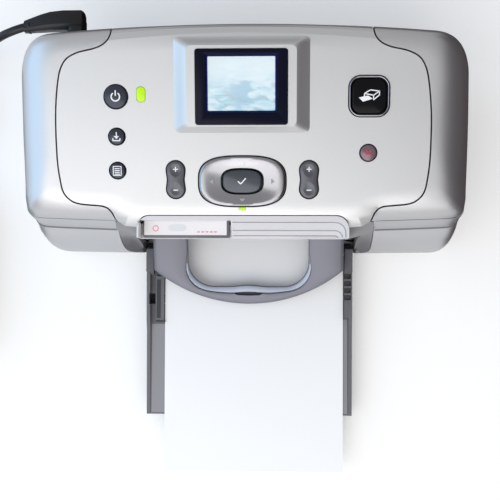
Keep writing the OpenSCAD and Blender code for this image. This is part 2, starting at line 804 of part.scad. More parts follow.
module input_tray() {
    color("#8e8d94") difference() {
        union() {
            // floor and end lip
            slab(-tray_half, tray_half, -tray_reach, -1, tray_floor_top - tray_floor_t, tray_floor_top);
            slab(-tray_half, tray_half, -tray_reach, -tray_reach + 2, 5, tray_floor_top);
            // long outer walls that fall away to the front
            for (sx = [-1, 1])
                translate([sx < 0 ? -tray_half : tray_half - rail_t, 0, 0]) rotate([90, 0, 90])
                    linear_extrude(rail_t) polygon([[-tray_reach, 5], [2, 6], [2, 16],
                        [-12, 16], [-38, 15.4], [-44, 13.6], [-tray_reach, 12.4]]);
            // hinge arms
            for (sx = [-1, 1]) {
                slab(sx < 0 ? -tray_half : tray_half - 4.2, sx < 0 ? -tray_half + 4.2 : tray_half, -10.5,
                    tray_hinge_y, tray_floor_top - 2, 18);
                translate([sx < 0 ? -tray_half : tray_half - 4.2, tray_hinge_y, tray_hinge_z])
                    rotate([0, 90, 0]) cylinder(h = 4.2, r = 3.6);
            }
            // grip pad beside the paper
            slab(tray_half - 4.4, tray_half, -36.4, -10, tray_floor_top - tray_floor_t, 15.4);
            // paper rest behind the guide
            slab(-tray_half, -tray_half + 4, -12, -8, tray_floor_top - tray_floor_t, 15.4);
        }
        for (sx = [-1, 1]) translate([sx < 0 ? -tray_half - 1 : tray_half - 5.2, tray_hinge_y, tray_hinge_z])
            rotate([0, 90, 0]) cylinder(h = 6.2, r = tray_pin_r + fit);
        for (i = [0:3]) slab(tray_half - 4.6, tray_half - 0.7, -14.2 - i * 4, -11.4 - i * 4, 14, 20);
        slab(-57, -46.2, -29, -23, 0, 20);
    }
}
module width_guide() {
    color("#85848c") {
        slab(-53.6, paper_x0 - clear, guide_y0, guide_y1, tray_floor_top + 0.05, 14.2);
        slab(-53, -49, -28.6, -23.4, tray_floor_top - tray_floor_t - 0.6, tray_floor_top + 0.1);
        slab(-54.4, -47.6, -28.6, -23.4, tray_floor_top - tray_floor_t - 1.6,
            tray_floor_top - tray_floor_t - 0.5);
    }
}
module photo_paper() {
    color("#f4f4f6") slab(paper_x0, paper_x0 + paper_w, -paper_reach, paper_l - paper_reach,
        paper_z, paper_z + paper_t);
}

// ---- electronics ----
board_back = 88;
socket_box_y = body_d - rear_bulge - wall - clear;
module main_board() {
    color("#1f6b3a") slab(jack_x - 6, 50, board_back, board_back + 1.6, 22, 72);
    color("#1f6b3a") for (x = [-80, 40], z = [42, 68])
        rod_y(x, rear_wall_y + plate_t, board_back + 0.4, z, 2.5);
    color("#26262a") slab(-30, -6, board_back - 3, board_back + 0.1, 40, 64);
    color("#26262a") for (x = [8, 22]) rod_y(x, board_back - 7, board_back + 0.1, 34, 4);
}
module power_jack() {
    color("#1a1a1d") difference() {
        union() {
            slab(jack_x - jack_w / 2, jack_x + jack_w / 2, board_back + 1.6, socket_box_y,
                jack_z - jack_w / 2, jack_z + jack_w / 2);
            rod_y(jack_x, socket_box_y - 1, body_d - rear_bulge, jack_z, 5.6);
        }
        rod_y(jack_x, body_d - 11, body_d + 2, jack_z, 2.85);
    }
}
module usb_socket() {
    color("#a8abb0") difference() {
        slab(usb_x - usb_w / 2, usb_x + usb_w / 2, board_back + 1.6, body_d - 1.5,
            usb_z - usb_h / 2, usb_z + usb_h / 2);
        slab(usb_x - usb_w / 2 + 1.2, usb_x + usb_w / 2 - 1.2, body_d - 11, body_d + 2,
            usb_z - usb_h / 2 + 1.2, usb_z + usb_h / 2 - 1.2);
    }
    color("#eeeeee") slab(usb_x - 2.8, usb_x + 2.8, body_d - 11.1, body_d - 3, usb_z - 1.6, usb_z + 1.6);
}

// ---- mechanism ----
module side_plate(x) {
    difference() {
        slab(x - plate_t / 2, x + plate_t / 2, 15.2, 84, inner_floor, 74);
        rod_x(x - 3, x + 3, feed_y, feed_z, shaft_r + fit);
        rod_x(x - 3, x + 3, exit_y, feed_z, shaft_r + fit);
        rod_x(x - 3, x + 3, pick_y, pick_z, axle_r + fit);
        rod_x(x - 3, x + 3, feed_y, pinch_z, axle_r + fit);
        rod_x(x - 3, x + 3, exit_y, star_z, axle_r - 0.5 + fit);
        rod_x(x - 3, x + 3, rod_y0, rod_z, rod_r + fit);
        if (x < 0) rod_x(x - 3, x + 3, pinion_y, feed_z, 4);
    }
}
module chassis() {
    color("#9aa0a6") {
        for (sx = [-1, 1]) {
            side_plate(sx * plate_x);
            for (y = [21, 78]) slab(sx < 0 ? -plate_x - 5 : plate_x, sx < 0 ? -plate_x : plate_x + 5,
                y - 5, y + 5, inner_floor, inner_floor + 1.5);
        }
        difference() {
            slab(-plate_x, plate_x, rear_wall_y, rear_wall_y + plate_t, 36, 74);
            rod_y(motor_x, rear_wall_y - 2, rear_wall_y + 4, rod_z, 3.4);
            rod_y(-motor_x, rear_wall_y - 2, rear_wall_y + 4, rod_z, 1.8);
        }
        rod_x(gear_x - gear_off - tiny, gear_x + gear_t + 0.4, pick_idler_y, pick_idler_z, 1.4);
        rod_x(-gear_x - gear_t - 0.4, -gear_x + gear_off + tiny, idler_y, feed_z, 2);
        rod_x(-plate_x, plate_x, 81, 10, 2);
    }
}
module guide_rod() {
    color("#c4c8cc") rod_x(-plate_x - 3, plate_x + 3, rod_y0, rod_z, rod_r);
}
module carriage() {
    color("#3a3a40") translate([carriage_x, 0, 0]) {
        h = carriage_w / 2;
        difference() {
            union() {
                slab(-h, h, carriage_y0, carriage_y1, carriage_z0 + 3, carriage_z1 - 14);
                slab(-h, h, carriage_y1 - 3, 72, 51, carriage_z1);
            }
            slab(-h + 2, h - 2, carriage_y0 + 2, carriage_y1 - 2, carriage_z0, reach_y);
            rod_x(-h - 1, h + 1, rod_y0, rod_z, rod_r + fit);
            slab(-h + 4, h - 4, 52, 58, 54, reach_y);
        }
        slab(-3, 3, 71.9, 77.4, rod_z - 2.4, rod_z + 2.4);
    }
}
module ink_cartridge() {
    color("#222226") translate([carriage_x, 0, 0]) {
        h = carriage_w / 2 - 2 - clear;
        slab(-h, h, carriage_y0 + 2 + clear, carriage_y1 - 2 - clear, carriage_z0 + 2.4, carriage_z1 - 6);
        slab(-h + 5, h - 5, carriage_y0 + 5, carriage_y1 - 6, carriage_z0, carriage_z0 + 2.5);
    }
}
module encoder_strip() {
    color("#cfd6da") slab(-plate_x + plate_t / 2, plate_x - plate_t / 2, 75.2, 75.6, rod_z + 6.6, 73);
}
module drive_belt() {
    color("#1b1b1d") translate([0, belt_y1, rod_z]) rotate([90, 0, 0]) linear_extrude(belt_y1 - belt_y0)
        difference() {
            union() {
                square([2 * motor_x, 2 * (pulley_r + belt_t)], center = true);
                for (sx = [-1, 1]) translate([sx * motor_x, 0]) circle(pulley_r + belt_t);
            }
            square([2 * motor_x, 2 * (pulley_r + fit)], center = true);
            for (sx = [-1, 1]) translate([sx * motor_x, 0]) circle(pulley_r + fit);
        }
}
module pulley(x, r_shaft, y_end) {
    rod_y(x, belt_y0, belt_y1, rod_z, pulley_r);
    rod_y(x, belt_y0 - 1, belt_y0, rod_z, pulley_r + 1.2);
    rod_y(x, belt_y1, belt_y1 + 0.8, rod_z, pulley_r + 1.2);
    rod_y(x, belt_y1, y_end, rod_z, r_shaft);
}
module motor_pulley() {
    color("#d8c27a") pulley(motor_x, 1.2, rear_wall_y + 6);
}
module idler_pulley() {
    color("#e4e4e0") pulley(-motor_x, 1.75, rear_wall_y + plate_t + 1);
}
module carriage_motor() {
    color("#7d8288") difference() {
        union() {
            rod_y(motor_x, rear_wall_y + plate_t, 98, rod_z, motor_r);
            rod_y(motor_x, rear_wall_y, rear_wall_y + plate_t + 1, rod_z, 3.3);
        }
        rod_y(motor_x, rear_wall_y - 1, rear_wall_y + 8, rod_z, 1.2 + fit);
    }
}
module feed_motor() {
    color("#7d8288") difference() {
        union() {
            rod_x(-plate_x + plate_t / 2, -62, pinion_y, feed_z, 8.6);
            rod_x(-plate_x - plate_t / 2, -plate_x + plate_t / 2 + 1, pinion_y, feed_z, 3.9);
        }
        rod_x(-plate_x - 2, -plate_x + 10, pinion_y, feed_z, 1 + fit);
    }
}
module motor_pinion() {
    color("#d8c27a") {
        gear(-gear_x - gear_t, pinion_y, feed_z, gear_pinion_n, 180 / gear_pinion_n, 0);
        rod_x(-gear_x, -plate_x + 8, pinion_y, feed_z, 1);
    }
}
module idler_gear() {
    color("#e4e4e0")
        gear(-gear_x - gear_t, idler_y, feed_z, gear_idler_n, 180 / gear_idler_n, 2 + fit);
}
module feed_roller() {
    color("#4a4a50") {
        rod_x(-gear_x - gear_t, gear_x + gear_t, feed_y, feed_z, shaft_r);
        for (x = [-42, -14, 14, 42]) rod_x(x - 9, x + 9, feed_y, feed_z, roller_r);
        gear(-gear_x - gear_t, feed_y, feed_z, gear_feed_n, 0, 0);
        gear(gear_x, feed_y, feed_z, gear_feed_n, pick_angle, 0);
    }
}
module exit_roller() {
    color("#4a4a50") {
        rod_x(-gear_x - gear_t, shaft_end, exit_y, feed_z, shaft_r);
        for (x = [-42, -14, 14, 42]) rod_x(x - 5, x + 5, exit_y, feed_z, roller_r);
        gear(-gear_x - gear_t, exit_y, feed_z, gear_feed_n, 180 / gear_feed_n, 0);
    }
}
module pick_gear_idler() {
    color("#e4e4e0") gear(gear_x, pick_idler_y, pick_idler_z, gear_pick_idler_n,
        pick_angle + 180 / gear_pick_idler_n, 1.4 + fit);
}
module pick_roller() {
    color("#3c3c40") {
        rod_x(-shaft_end, gear_x + gear_t, pick_y, pick_z, axle_r);
        for (sx = [-1, 1]) rod_x(sx * 14 - 8, sx * 14 + 8, pick_y, pick_z, pick_r);
        gear(gear_x, pick_y, pick_z, gear_pick_n, pick_angle - 180, 0);
    }
}
module pinch_rollers() {
    color("#8a8a90") {
        rod_x(-shaft_end, shaft_end, feed_y, pinch_z, axle_r);
        for (x = [-42, -14, 14, 42]) rod_x(x - 7, x + 7, feed_y, pinch_z, pinch_r);
    }
}
module star_wheels() {
    color("#8a8a90") {
        rod_x(-shaft_end, shaft_end, exit_y, star_z, axle_r - 0.5);
        for (x = [-42, -14, 14, 42]) rod_x(x - 1.2, x + 1.2, exit_y, star_z, star_r);
    }
}
module platen() {
    color("#55555c") {
        slab(-plate_x + plate_t / 2, 56, 28, 48, 27.4, 31);
        for (i = [-9:9]) slab(i * 6 - 0.6, i * 6 + 0.6, 29, 47, 30.9, print_plane - 0.5);
    }
}
module service_station() {
    color("#3b4a52") {
        slab(57, plate_x - plate_t / 2, 28, 48, 27.4, 33);
        slab(carriage_x + 1, carriage_x + 9, 31, 44, 32.9, carriage_z0 - 0.4);
        slab(76, 84, 31, 46, 32.9, carriage_z0 - 0.4);
    }
}

// ---- lead and adapter ----
plug_y = 122;
plug_half = 5.5;
relief_x = -107;
relief_l = 11;
cord_r = cord_d / 2;
coil_x = -190;
coil_y = 82;
coil_mid_r = 25;
coil_band = 3 * cord_d;
lay_z = cord_r;
route = [[-118.05, 122, 58], [-120, 122, 58], [-124.5, 122, 57.5], [-131, 121.5, 55],
    [-137, 121, 49.5], [-141.5, 120, 42], [-145, 119, 33.5], [-148.5, 118, 25], [-153, 117, 16.5],
    [-159, 115.5, 9], [-167, 113.5, 4], [-176, 111, 2.5], [-186, 107.5, 2.25]];
tail = [[-180, 35.05, 15], [-180, 37, 15], [-180.9, 40.6, 14.9], [-183.3, 45, 14.3],
    [-187, 49, 13.4], [-191, 51.6, 12.4], [-195.1, 53, 11.5]];
function unit(v) = v / norm(v);
function way(p, i) = unit(p[min(i + 1, len(p) - 1)] - p[max(i - 1, 0)]);
function ring(c, d, r, n) = let(s = unit(cross(d, [0, 0, 1])), u = cross(s, d))
    [for (k = [0:n - 1]) c + r * cos(360 * k / n) * s + r * sin(360 * k / n) * u];
module tube(p, r) {
    n = 8;
    m = len(p);
    pts = [for (i = [0:m - 1]) each ring(p[i], way(p, i), r, n)];
    faces = concat([[for (k = [0:n - 1]) n - 1 - k]], [[for (k = [0:n - 1]) (m - 1) * n + k]],
        [for (i = [0:m - 2], k = [0:n - 1]) let(a = i * n + k, b = i * n + (k + 1) % n)
            each [[a, b, b + n], [a, b + n, a + n]]]);
    polyhedron(pts, faces);
}
module dc_plug() {
    color("#141416") {
        rod_y(jack_x, body_d - 9, body_d + 1, jack_z, 2.8);
        slab(jack_x - 8, jack_x + 5, body_d + 0.6, plug_y + plug_half,
            jack_z - plug_half, jack_z + plug_half);
        rod_x(relief_x, jack_x - 6, plug_y, jack_z, 5);
        translate([relief_x + tiny, plug_y, jack_z]) rotate([0, -90, 0])
            cylinder(h = relief_l, r1 = 4.4, r2 = 3);
    }
}
module dc_cord() {
    color("#18181a") {
        tube(route, cord_r);
        tube(tail, cord_r);
    }
}
module cord_coil() {
    color("#18181a") translate([coil_x, coil_y, 0]) rotate_extrude()
        translate([coil_mid_r - coil_band / 2, 0]) square([coil_band, coil_band]);
}
module power_adapter() {
    color("#1c1c1f") difference() {
        union() {
            translate([coil_x, coil_y - 50 - adapter_l / 2, 0])
                round_block(adapter_w, adapter_l, 6, 0, adapter_h);
            rod_y(-180, coil_y - 51, coil_y - 47, 15, 4);
        }
        slab(coil_x - 8, coil_x + 8, coil_y - 51 - adapter_l, coil_y - 38 - adapter_l, 8, 22);
    }
}

placed() {
    base_case();
    top_panel();
    left_end_cover();
    right_end_cover();
    throat_bezel();
    rubber_feet();
    case_screws();
    lcd_frame();
    lcd_window();
    lcd_module();
    power_button();
    save_button();
    menu_button();
    zoom_rocker();
    copies_rocker();
    nav_cradle();
    nav_pad();
    ok_button();
    print_ring();
    print_button();
    cancel_button();
    power_light();
    card_light();
    keypad_board();
    card_slot_panel();
    card_reader_board();
    card_sockets();
    memory_card();
    cartridge_door();
    output_tray();
    input_tray();
    width_guide();
    photo_paper();
    main_board();
    power_jack();
    usb_socket();
    chassis();
    guide_rod();
    carriage();
    ink_cartridge();
    encoder_strip();
    drive_belt();
    carriage_motor();
    motor_pulley();
    idler_pulley();
    feed_motor();
    motor_pinion();
    idler_gear();
    feed_roller();
    pinch_rollers();
    exit_roller();
    star_wheels();
    pick_gear_idler();
    pick_roller();
    platen();
    service_station();
    dc_plug();
    dc_cord();
    cord_coil();
    power_adapter();
}
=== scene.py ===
"""A compact photo printer on a pale table: its shells, keys, trays, paper and lead.

Shapes are drawn in millimetres in the body's own frame, whose y = 0 is the foot of the
front skirt, and are then placed in the row frame, in metres.
"""
import logging
import math
from dataclasses import dataclass
from enum import Enum

import bpy
import bmesh
import numpy as np
from bpy.types import ID, Material, Node, NodeSocket, NodeTree, Object
from mathutils import Matrix, Vector


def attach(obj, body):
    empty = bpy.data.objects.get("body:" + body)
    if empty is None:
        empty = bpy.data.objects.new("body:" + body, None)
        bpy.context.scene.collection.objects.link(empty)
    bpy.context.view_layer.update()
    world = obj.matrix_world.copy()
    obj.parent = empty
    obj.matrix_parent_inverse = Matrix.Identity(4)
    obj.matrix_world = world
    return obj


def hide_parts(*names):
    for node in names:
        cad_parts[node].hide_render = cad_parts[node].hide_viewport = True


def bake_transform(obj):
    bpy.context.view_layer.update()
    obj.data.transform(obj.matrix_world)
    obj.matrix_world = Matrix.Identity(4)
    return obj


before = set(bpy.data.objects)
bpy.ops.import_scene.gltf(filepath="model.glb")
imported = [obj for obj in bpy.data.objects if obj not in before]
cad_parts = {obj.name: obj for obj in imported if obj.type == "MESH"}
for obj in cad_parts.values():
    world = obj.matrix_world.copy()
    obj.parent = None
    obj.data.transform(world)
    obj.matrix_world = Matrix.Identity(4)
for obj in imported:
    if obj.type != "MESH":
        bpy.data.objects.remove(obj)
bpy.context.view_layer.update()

LOG = logging.getLogger("printer")

MM = 0.001
BODY_SHIFT = 9.8
TO_ROW = Matrix.Translation((0, BODY_SHIFT * MM, 0)) @ Matrix.Scale(MM, 4)
BODY = "housing"
SHARP = math.radians(32)
FLAT = math.radians(1.0)


class Cut(Enum):
    """How one solid works on another."""

    AWAY = "DIFFERENCE"
    JOIN = "UNION"
    KEEP = "INTERSECT"


class Kind(Enum):
    """The families of finish that the printer's surfaces have."""

    PAINT = "paint"
    MOULDED = "moulded"
    GLOSS = "gloss"
    METAL = "metal"
    RUBBER = "rubber"
    GLASS = "glass"
    PAPER = "paper"
    LIT = "lit"
    DEEP = "deep"


# ---- node trees and finishes ----


def feed(tree: NodeTree, socket: NodeSocket, value: object) -> None:
    """Links another node's output to a socket, or sets the socket's own value."""
    if isinstance(value, NodeSocket):
        tree.links.new(value, socket)
    else:
        socket.default_value = value


def add_node(tree: NodeTree, kind: str, inputs: dict | None = None, **options: object) -> Node:
    """Adds a node with its options and inputs set.

    Args:
        tree: the node tree.
        kind: the node's type.
        inputs: socket names or numbers, to values or to the outputs that feed them.
        options: the node's own settings, such as its operation.

    Returns:
        The new node.
    """
    made = tree.nodes.new(kind)
    for name, value in options.items():
        setattr(made, name, value)
    for key, value in (inputs or {}).items():
        feed(tree, made.inputs[key], value)
    return made


def new_material(name: str) -> tuple[Material, NodeTree, Node]:
    """A new material, its node tree and its shader."""
    made = bpy.data.materials.new(name)
    made.use_nodes = True
    return made, made.node_tree, made.node_tree.nodes["Principled BSDF"]


def dress_shader(tree: NodeTree, shader: Node, inputs: dict) -> None:
    """Sets or links several of a shader's sockets."""
    for name, value in inputs.items():
        feed(tree, shader.inputs[name], value)


class Effects:
    """Shader node groups that several finishes share. Each is built once."""

    @staticmethod
    def _group(name: str, inputs: dict, outputs: tuple) -> tuple:
        """Starts a shader group with its sockets.

        Args:
            name: the group's name.
            inputs: socket name to its default value, a number or a colour.
            outputs: socket names; "Color" is a colour and the others are numbers.

        Returns:
            The group, its input node and its output node, or None for both if it was there.
        """
        group = bpy.data.node_groups.get(name)
        if group is not None:
            return group, None, None
        group = bpy.data.node_groups.new(name, "ShaderNodeTree")
        for label, default in inputs.items():
            kind = "NodeSocketFloat" if isinstance(default, float) else "NodeSocketColor"
            group.interface.new_socket(label, in_out="INPUT", socket_type=kind).default_value = default
        for label in outputs:
            kind = "NodeSocketColor" if label == "Color" else "NodeSocketFloat"
            group.interface.new_socket(label, in_out="OUTPUT", socket_type=kind)
        return group, group.nodes.new("NodeGroupInput"), group.nodes.new("NodeGroupOutput")

    @classmethod
    def grain(cls) -> NodeTree:
        """Fine moulded grain or paint flake: a colour, a roughness and a height from one noise."""
        inputs = {"Scale": 900.0, "Dark": (0.4, 0.4, 0.4, 1), "Light": (0.6, 0.6, 0.6, 1), "Smooth": 0.3,
                  "Rough": 0.5}
        group, start, end = cls._group("fine_grain", inputs, ("Color", "Roughness", "Height"))
        if start is None:
            return group
        given = start.outputs
        place = add_node(group, "ShaderNodeTexCoord")
        noise = add_node(group, "ShaderNodeTexNoise",
                         {"Detail": 2.0, "Vector": place.outputs["Object"], "Scale": given["Scale"]})
        height = noise.outputs["Fac"]
        tone = add_node(group, "ShaderNodeMix", {"Factor": height, "A": given["Dark"], "B": given["Light"]},
                        data_type="RGBA")
        span = add_node(group, "ShaderNodeMapRange",
                        {"Value": height, "To Min": given["Smooth"], "To Max": given["Rough"]})
        feed(group, end.inputs["Color"], tone.outputs["Result"])
        feed(group, end.inputs["Roughness"], span.outputs["Result"])
        feed(group, end.inputs["Height"], height)
        return group

    @classmethod
    def handling(cls) -> NodeTree:
        """Soft smudges where a surface is handled: darkens a colour a little and dulls its gloss."""
        inputs = {"Color": (0.5, 0.5, 0.5, 1), "Roughness": 0.4, "Scale": 24.0, "Amount": 0.06}
        group, start, end = cls._group("handling_marks", inputs, ("Color", "Roughness"))
        if start is None:
            return group
        given = start.outputs
        place = add_node(group, "ShaderNodeTexCoord")
        noise = add_node(group, "ShaderNodeTexNoise", {
            "Detail": 4.0, "Distortion": 0.6, "Scale": given["Scale"], "Vector": place.outputs["Object"]})
        share = add_node(group, "ShaderNodeMath", {0: noise.outputs["Fac"], 1: given["Amount"]},
                         operation="MULTIPLY")
        keep = add_node(group, "ShaderNodeMath", {0: 1.0, 1: share.outputs["Value"]}, operation="SUBTRACT")
        tone = add_node(group, "ShaderNodeVectorMath", {0: given["Color"], "Scale": keep.outputs["Value"]},
                        operation="SCALE")
        dull = add_node(group, "ShaderNodeMath", {0: given["Roughness"], 1: share.outputs["Value"]},
                        operation="ADD")
        feed(group, end.inputs["Color"], tone.outputs["Vector"])
        feed(group, end.inputs["Roughness"], dull.outputs["Value"])
        return group


ROUGH_SPREAD = 0.06
BUMP_DEPTH = 0.0002
COAT_ROUGHNESS = 0.08
KIND_SETTINGS = {
    Kind.GLASS: {"Transmission Weight": 0.9, "IOR": 1.3},
    Kind.DEEP: {"Specular IOR Level": 0.12},
    Kind.RUBBER: {"Specular IOR Level": 0.35},
}


@dataclass(frozen=True)
class Finish:
    """One finish: its colour, gloss and grain, as set on the shader's own sockets."""

    name: str
    colour: tuple[float, float, float]
    kind: Kind = Kind.MOULDED
    roughness: float = 0.5
    metallic: float = 0.0
    coat: float = 0.0
    grain: float = 900.0
    contrast: float = 0.06
    bump: float = 0.05
    marks: float = 0.05
    glow: float = 0.0

    def tone(self, factor: float) -> tuple[float, float, float, float]:
        """The finish's colour times a factor, held under 1."""
        return (*(min(1.0, c * factor) for c in self.colour), 1.0)

    def material(self) -> Material:
        """Builds the material, or returns the one that was built before.

        Returns:
            The Blender material.
        """
        found = bpy.data.materials.get(self.name)
        if found is not None:
            return found
        made, tree, shader = new_material(self.name)
        grain = add_node(tree, "ShaderNodeGroup", {
            "Scale": self.grain,
            "Dark": self.tone(1 - self.contrast), "Light": self.tone(1 + self.contrast),
            "Smooth": max(0.02, self.roughness - ROUGH_SPREAD),
            "Rough": min(1.0, self.roughness + ROUGH_SPREAD)}, node_tree=Effects.grain())
        marks = add_node(tree, "ShaderNodeGroup", {
            "Amount": self.marks, "Color": grain.outputs["Color"], "Roughness": grain.outputs["Roughness"]},
            node_tree=Effects.handling())
        bump = add_node(tree, "ShaderNodeBump", {
            "Strength": self.bump, "Distance": BUMP_DEPTH, "Height": grain.outputs["Height"]})
        dress_shader(tree, shader, {
            "Base Color": marks.outputs["Color"], "Roughness": marks.outputs["Roughness"],
            "Normal": bump.outputs["Normal"], "Metallic": self.metallic, "Coat Weight": self.coat,
            "Coat Roughness": COAT_ROUGHNESS, **KIND_SETTINGS.get(self.kind, {})})
        if self.kind is Kind.LIT:
            dress_shader(tree, shader, {
                "Emission Color": grain.outputs["Color"], "Emission Strength": self.glow})
        return made


# Each row: name, colour, kind, roughness, metallic, coat, grain, contrast, bump, marks and glow.
SILVER = Finish("silver_paint", (0.58, 0.58, 0.59), Kind.PAINT, 0.38, 0.88, 0.0, 2600, 0.04, 0.02, 0.03)
PLATE = Finish("plate_paint", (0.63, 0.63, 0.635), Kind.PAINT, 0.42, 0.8, 0.0, 2600, 0.03, 0.02, 0.02)
# Dark grey laid as a strip along the front crease: painted shade in the crease.
CREASE_SHADE = Finish("painted_crease_shade", (0.2, 0.2, 0.21), Kind.PAINT, 0.5, 0.6, 0.0, 2600, 0.05, 0.02, 0.03)
# Near-black finish used only as painted shade: round the keys and in the seam.
GAP_SHADE = Finish("gap_painted_shade", (0.004, 0.004, 0.006), Kind.RUBBER, 0.6, 0.0, 0.0, 1500, 0.1, 0.02)
THROAT = Finish("throat_plastic", (0.27, 0.265, 0.275), Kind.MOULDED, 0.4, 0.45, 0.0, 1500, 0.08, 0.08)
DARK_GREY = Finish("tray_plastic", (0.13, 0.13, 0.145), Kind.MOULDED, 0.44, 0.2, 0.0, 1600, 0.1, 0.1)
# Pale blue-grey over the arch's bevelled band: painted highlight of its sheen.
BAND_SHEEN = Finish("painted_arch_band_sheen", (0.4, 0.44, 0.53), Kind.MOULDED, 0.36, 0.3, 0.1, 1600, 0.05, 0.04)
# Mid grey laid as thin lines at the foot of the lip's steps: painted shade.
LIP_STEP_SHADE = Finish("lip_step_painted_shade", (0.36, 0.35, 0.37), Kind.MOULDED, 0.5, 0.1, 0.0, 1600, 0.06, 0.04)
ARCH_GREY = Finish("arch_plastic", (0.185, 0.185, 0.22), Kind.MOULDED, 0.4, 0.3, 0.1, 1600, 0.06, 0.06)
FLOOR_GREY = Finish("tray_floor_plastic", (0.27, 0.27, 0.285), Kind.MOULDED, 0.5, 0.15, 0.0, 1500,
                    0.08, 0.08)
LIP_GREY = Finish("lip_plastic", (0.76, 0.75, 0.77), Kind.MOULDED, 0.38, 0.3, 0.1, 1800, 0.04, 0.03)
DOOR_GREY = Finish("door_plastic", (0.36, 0.35, 0.37), Kind.MOULDED, 0.45, 0.2, 0.0, 1500, 0.06, 0.06)
KEY_DARK = Finish("dark_key_plastic", (0.022, 0.027, 0.045), Kind.GLOSS, 0.22, 0.3, 0.2, 1200, 0.1, 0.01)
KEY_GREY = Finish("grey_key_plastic", (0.1, 0.1, 0.115), Kind.GLOSS, 0.28, 0.5, 0.1, 1600, 0.08, 0.02)
PAD_GREY = Finish("arrow_pad_plastic", (0.34, 0.335, 0.355), Kind.GLOSS, 0.2, 0.95, 0.1, 1800, 0.06, 0.02)
OK_GREY = Finish("ok_key_plastic", (0.06, 0.065, 0.08), Kind.GLOSS, 0.22, 0.45, 0.2, 1600, 0.08, 0.02)
KEY_BLACK = Finish("black_key_plastic", (0.003, 0.003, 0.004), Kind.DEEP, 0.14, 0.0, 0.0, 1200, 0.2, 0.01)
PLUM = Finish("cancel_key_plastic", (0.17, 0.1, 0.13), Kind.GLOSS, 0.2, 0.35, 0.5, 1400, 0.12, 0.02)
CHROME = Finish("bright_ring", (0.34, 0.33, 0.37), Kind.METAL, 0.1, 1.0, 0.0, 2000, 0.03, 0.01, 0.02)
INK_WHITE = Finish("white_print", (0.85, 0.86, 0.88), Kind.PAPER, 0.5, 0.0, 0.0, 2000, 0.03, 0.02, 0.0)
INK_GREY = Finish("grey_print", (0.32, 0.33, 0.34), Kind.PAPER, 0.5, 0.0, 0.0, 2000, 0.05, 0.02, 0.0)
INK_RED = Finish("red_print", (0.55, 0.04, 0.05), Kind.PAPER, 0.45, 0.0, 0.0, 2000, 0.06, 0.02, 0.0)
SCREEN_BLACK = Finish("screen_frame_plastic", (0.0015, 0.002, 0.012), Kind.DEEP, 0.2, 0.0, 0.0, 1200, 0.2,
                      0.01)
SCREEN_BLUE = Finish("screen_rim_plastic", (0.001, 0.004, 0.12), Kind.DEEP, 0.25, 0.0, 0.0, 1200, 0.2, 0.01)
SCREEN_GLASS = Finish("screen_glass", (0.93, 0.97, 0.99), Kind.GLASS, 0.08, 0.0, 0.0, 900, 0.02, 0.0, 0.0)
LAMP_GREEN = Finish("green_lens", (0.38, 0.66, 0.0), Kind.LIT, 0.3, 0.0, 0.2, 900, 0.1, 0.02, 0.0, 0.4)
CARD_SHELL = Finish("card_plastic", (0.12, 0.12, 0.125), Kind.MOULDED, 0.4, 0.0, 0.0, 1500, 0.08, 0.04)
CARD_LABEL = Finish("card_label_paper", (0.86, 0.84, 0.85), Kind.PAPER, 0.42, 0.0, 0.15, 1600, 0.03, 0.02,
                    0.03)
LABEL_PINK = Finish("label_pink_print", (0.75, 0.3, 0.33), Kind.PAPER, 0.5, 0.0, 0.0, 2200, 0.06, 0.01, 0.0)
LABEL_MIST = Finish("label_grey_print", (0.72, 0.73, 0.75), Kind.PAPER, 0.5, 0.0, 0.0, 2200, 0.03, 0.01,
                    0.0)
PAPER = Finish("photo_paper_coat", (0.9, 0.9, 0.91), Kind.PAPER, 0.34, 0.0, 0.1, 1400, 0.015, 0.02, 0.01)
RUBBER = Finish("foot_rubber", (0.03, 0.03, 0.032), Kind.RUBBER, 0.8, 0.0, 0.0, 1800, 0.12, 0.2)
LEAD = Finish("lead_rubber", (0.006, 0.006, 0.008), Kind.RUBBER, 0.32, 0.0, 0.1, 1500, 0.15, 0.08)
BRICK = Finish("adapter_plastic", (0.018, 0.018, 0.021), Kind.MOULDED, 0.5, 0.0, 0.0, 1600, 0.12, 0.12)
STEEL = Finish("plain_steel", (0.55, 0.56, 0.58), Kind.METAL, 0.32, 1.0, 0.0, 1900, 0.08, 0.05)
BRASS = Finish("plain_brass", (0.7, 0.52, 0.24), Kind.METAL, 0.3, 1.0, 0.0, 1900, 0.08, 0.05)
GEAR_WHITE = Finish("gear_plastic", (0.78, 0.78, 0.74), Kind.MOULDED, 0.4, 0.0, 0.0, 1500, 0.05, 0.05)
BOARD_GREEN = Finish("board_mask", (0.03, 0.17, 0.07), Kind.MOULDED, 0.36, 0.0, 0.2, 700, 0.25, 0.1)
# Plain black plastic for the sockets and works; also laid as painted shade in slots and pockets.
BLACK_AND_SLOT_SHADE = Finish("black_plastic_and_slot_shade", (0.03, 0.03, 0.035), Kind.MOULDED, 0.5, 0.0, 0.0, 1500, 0.1, 0.08)


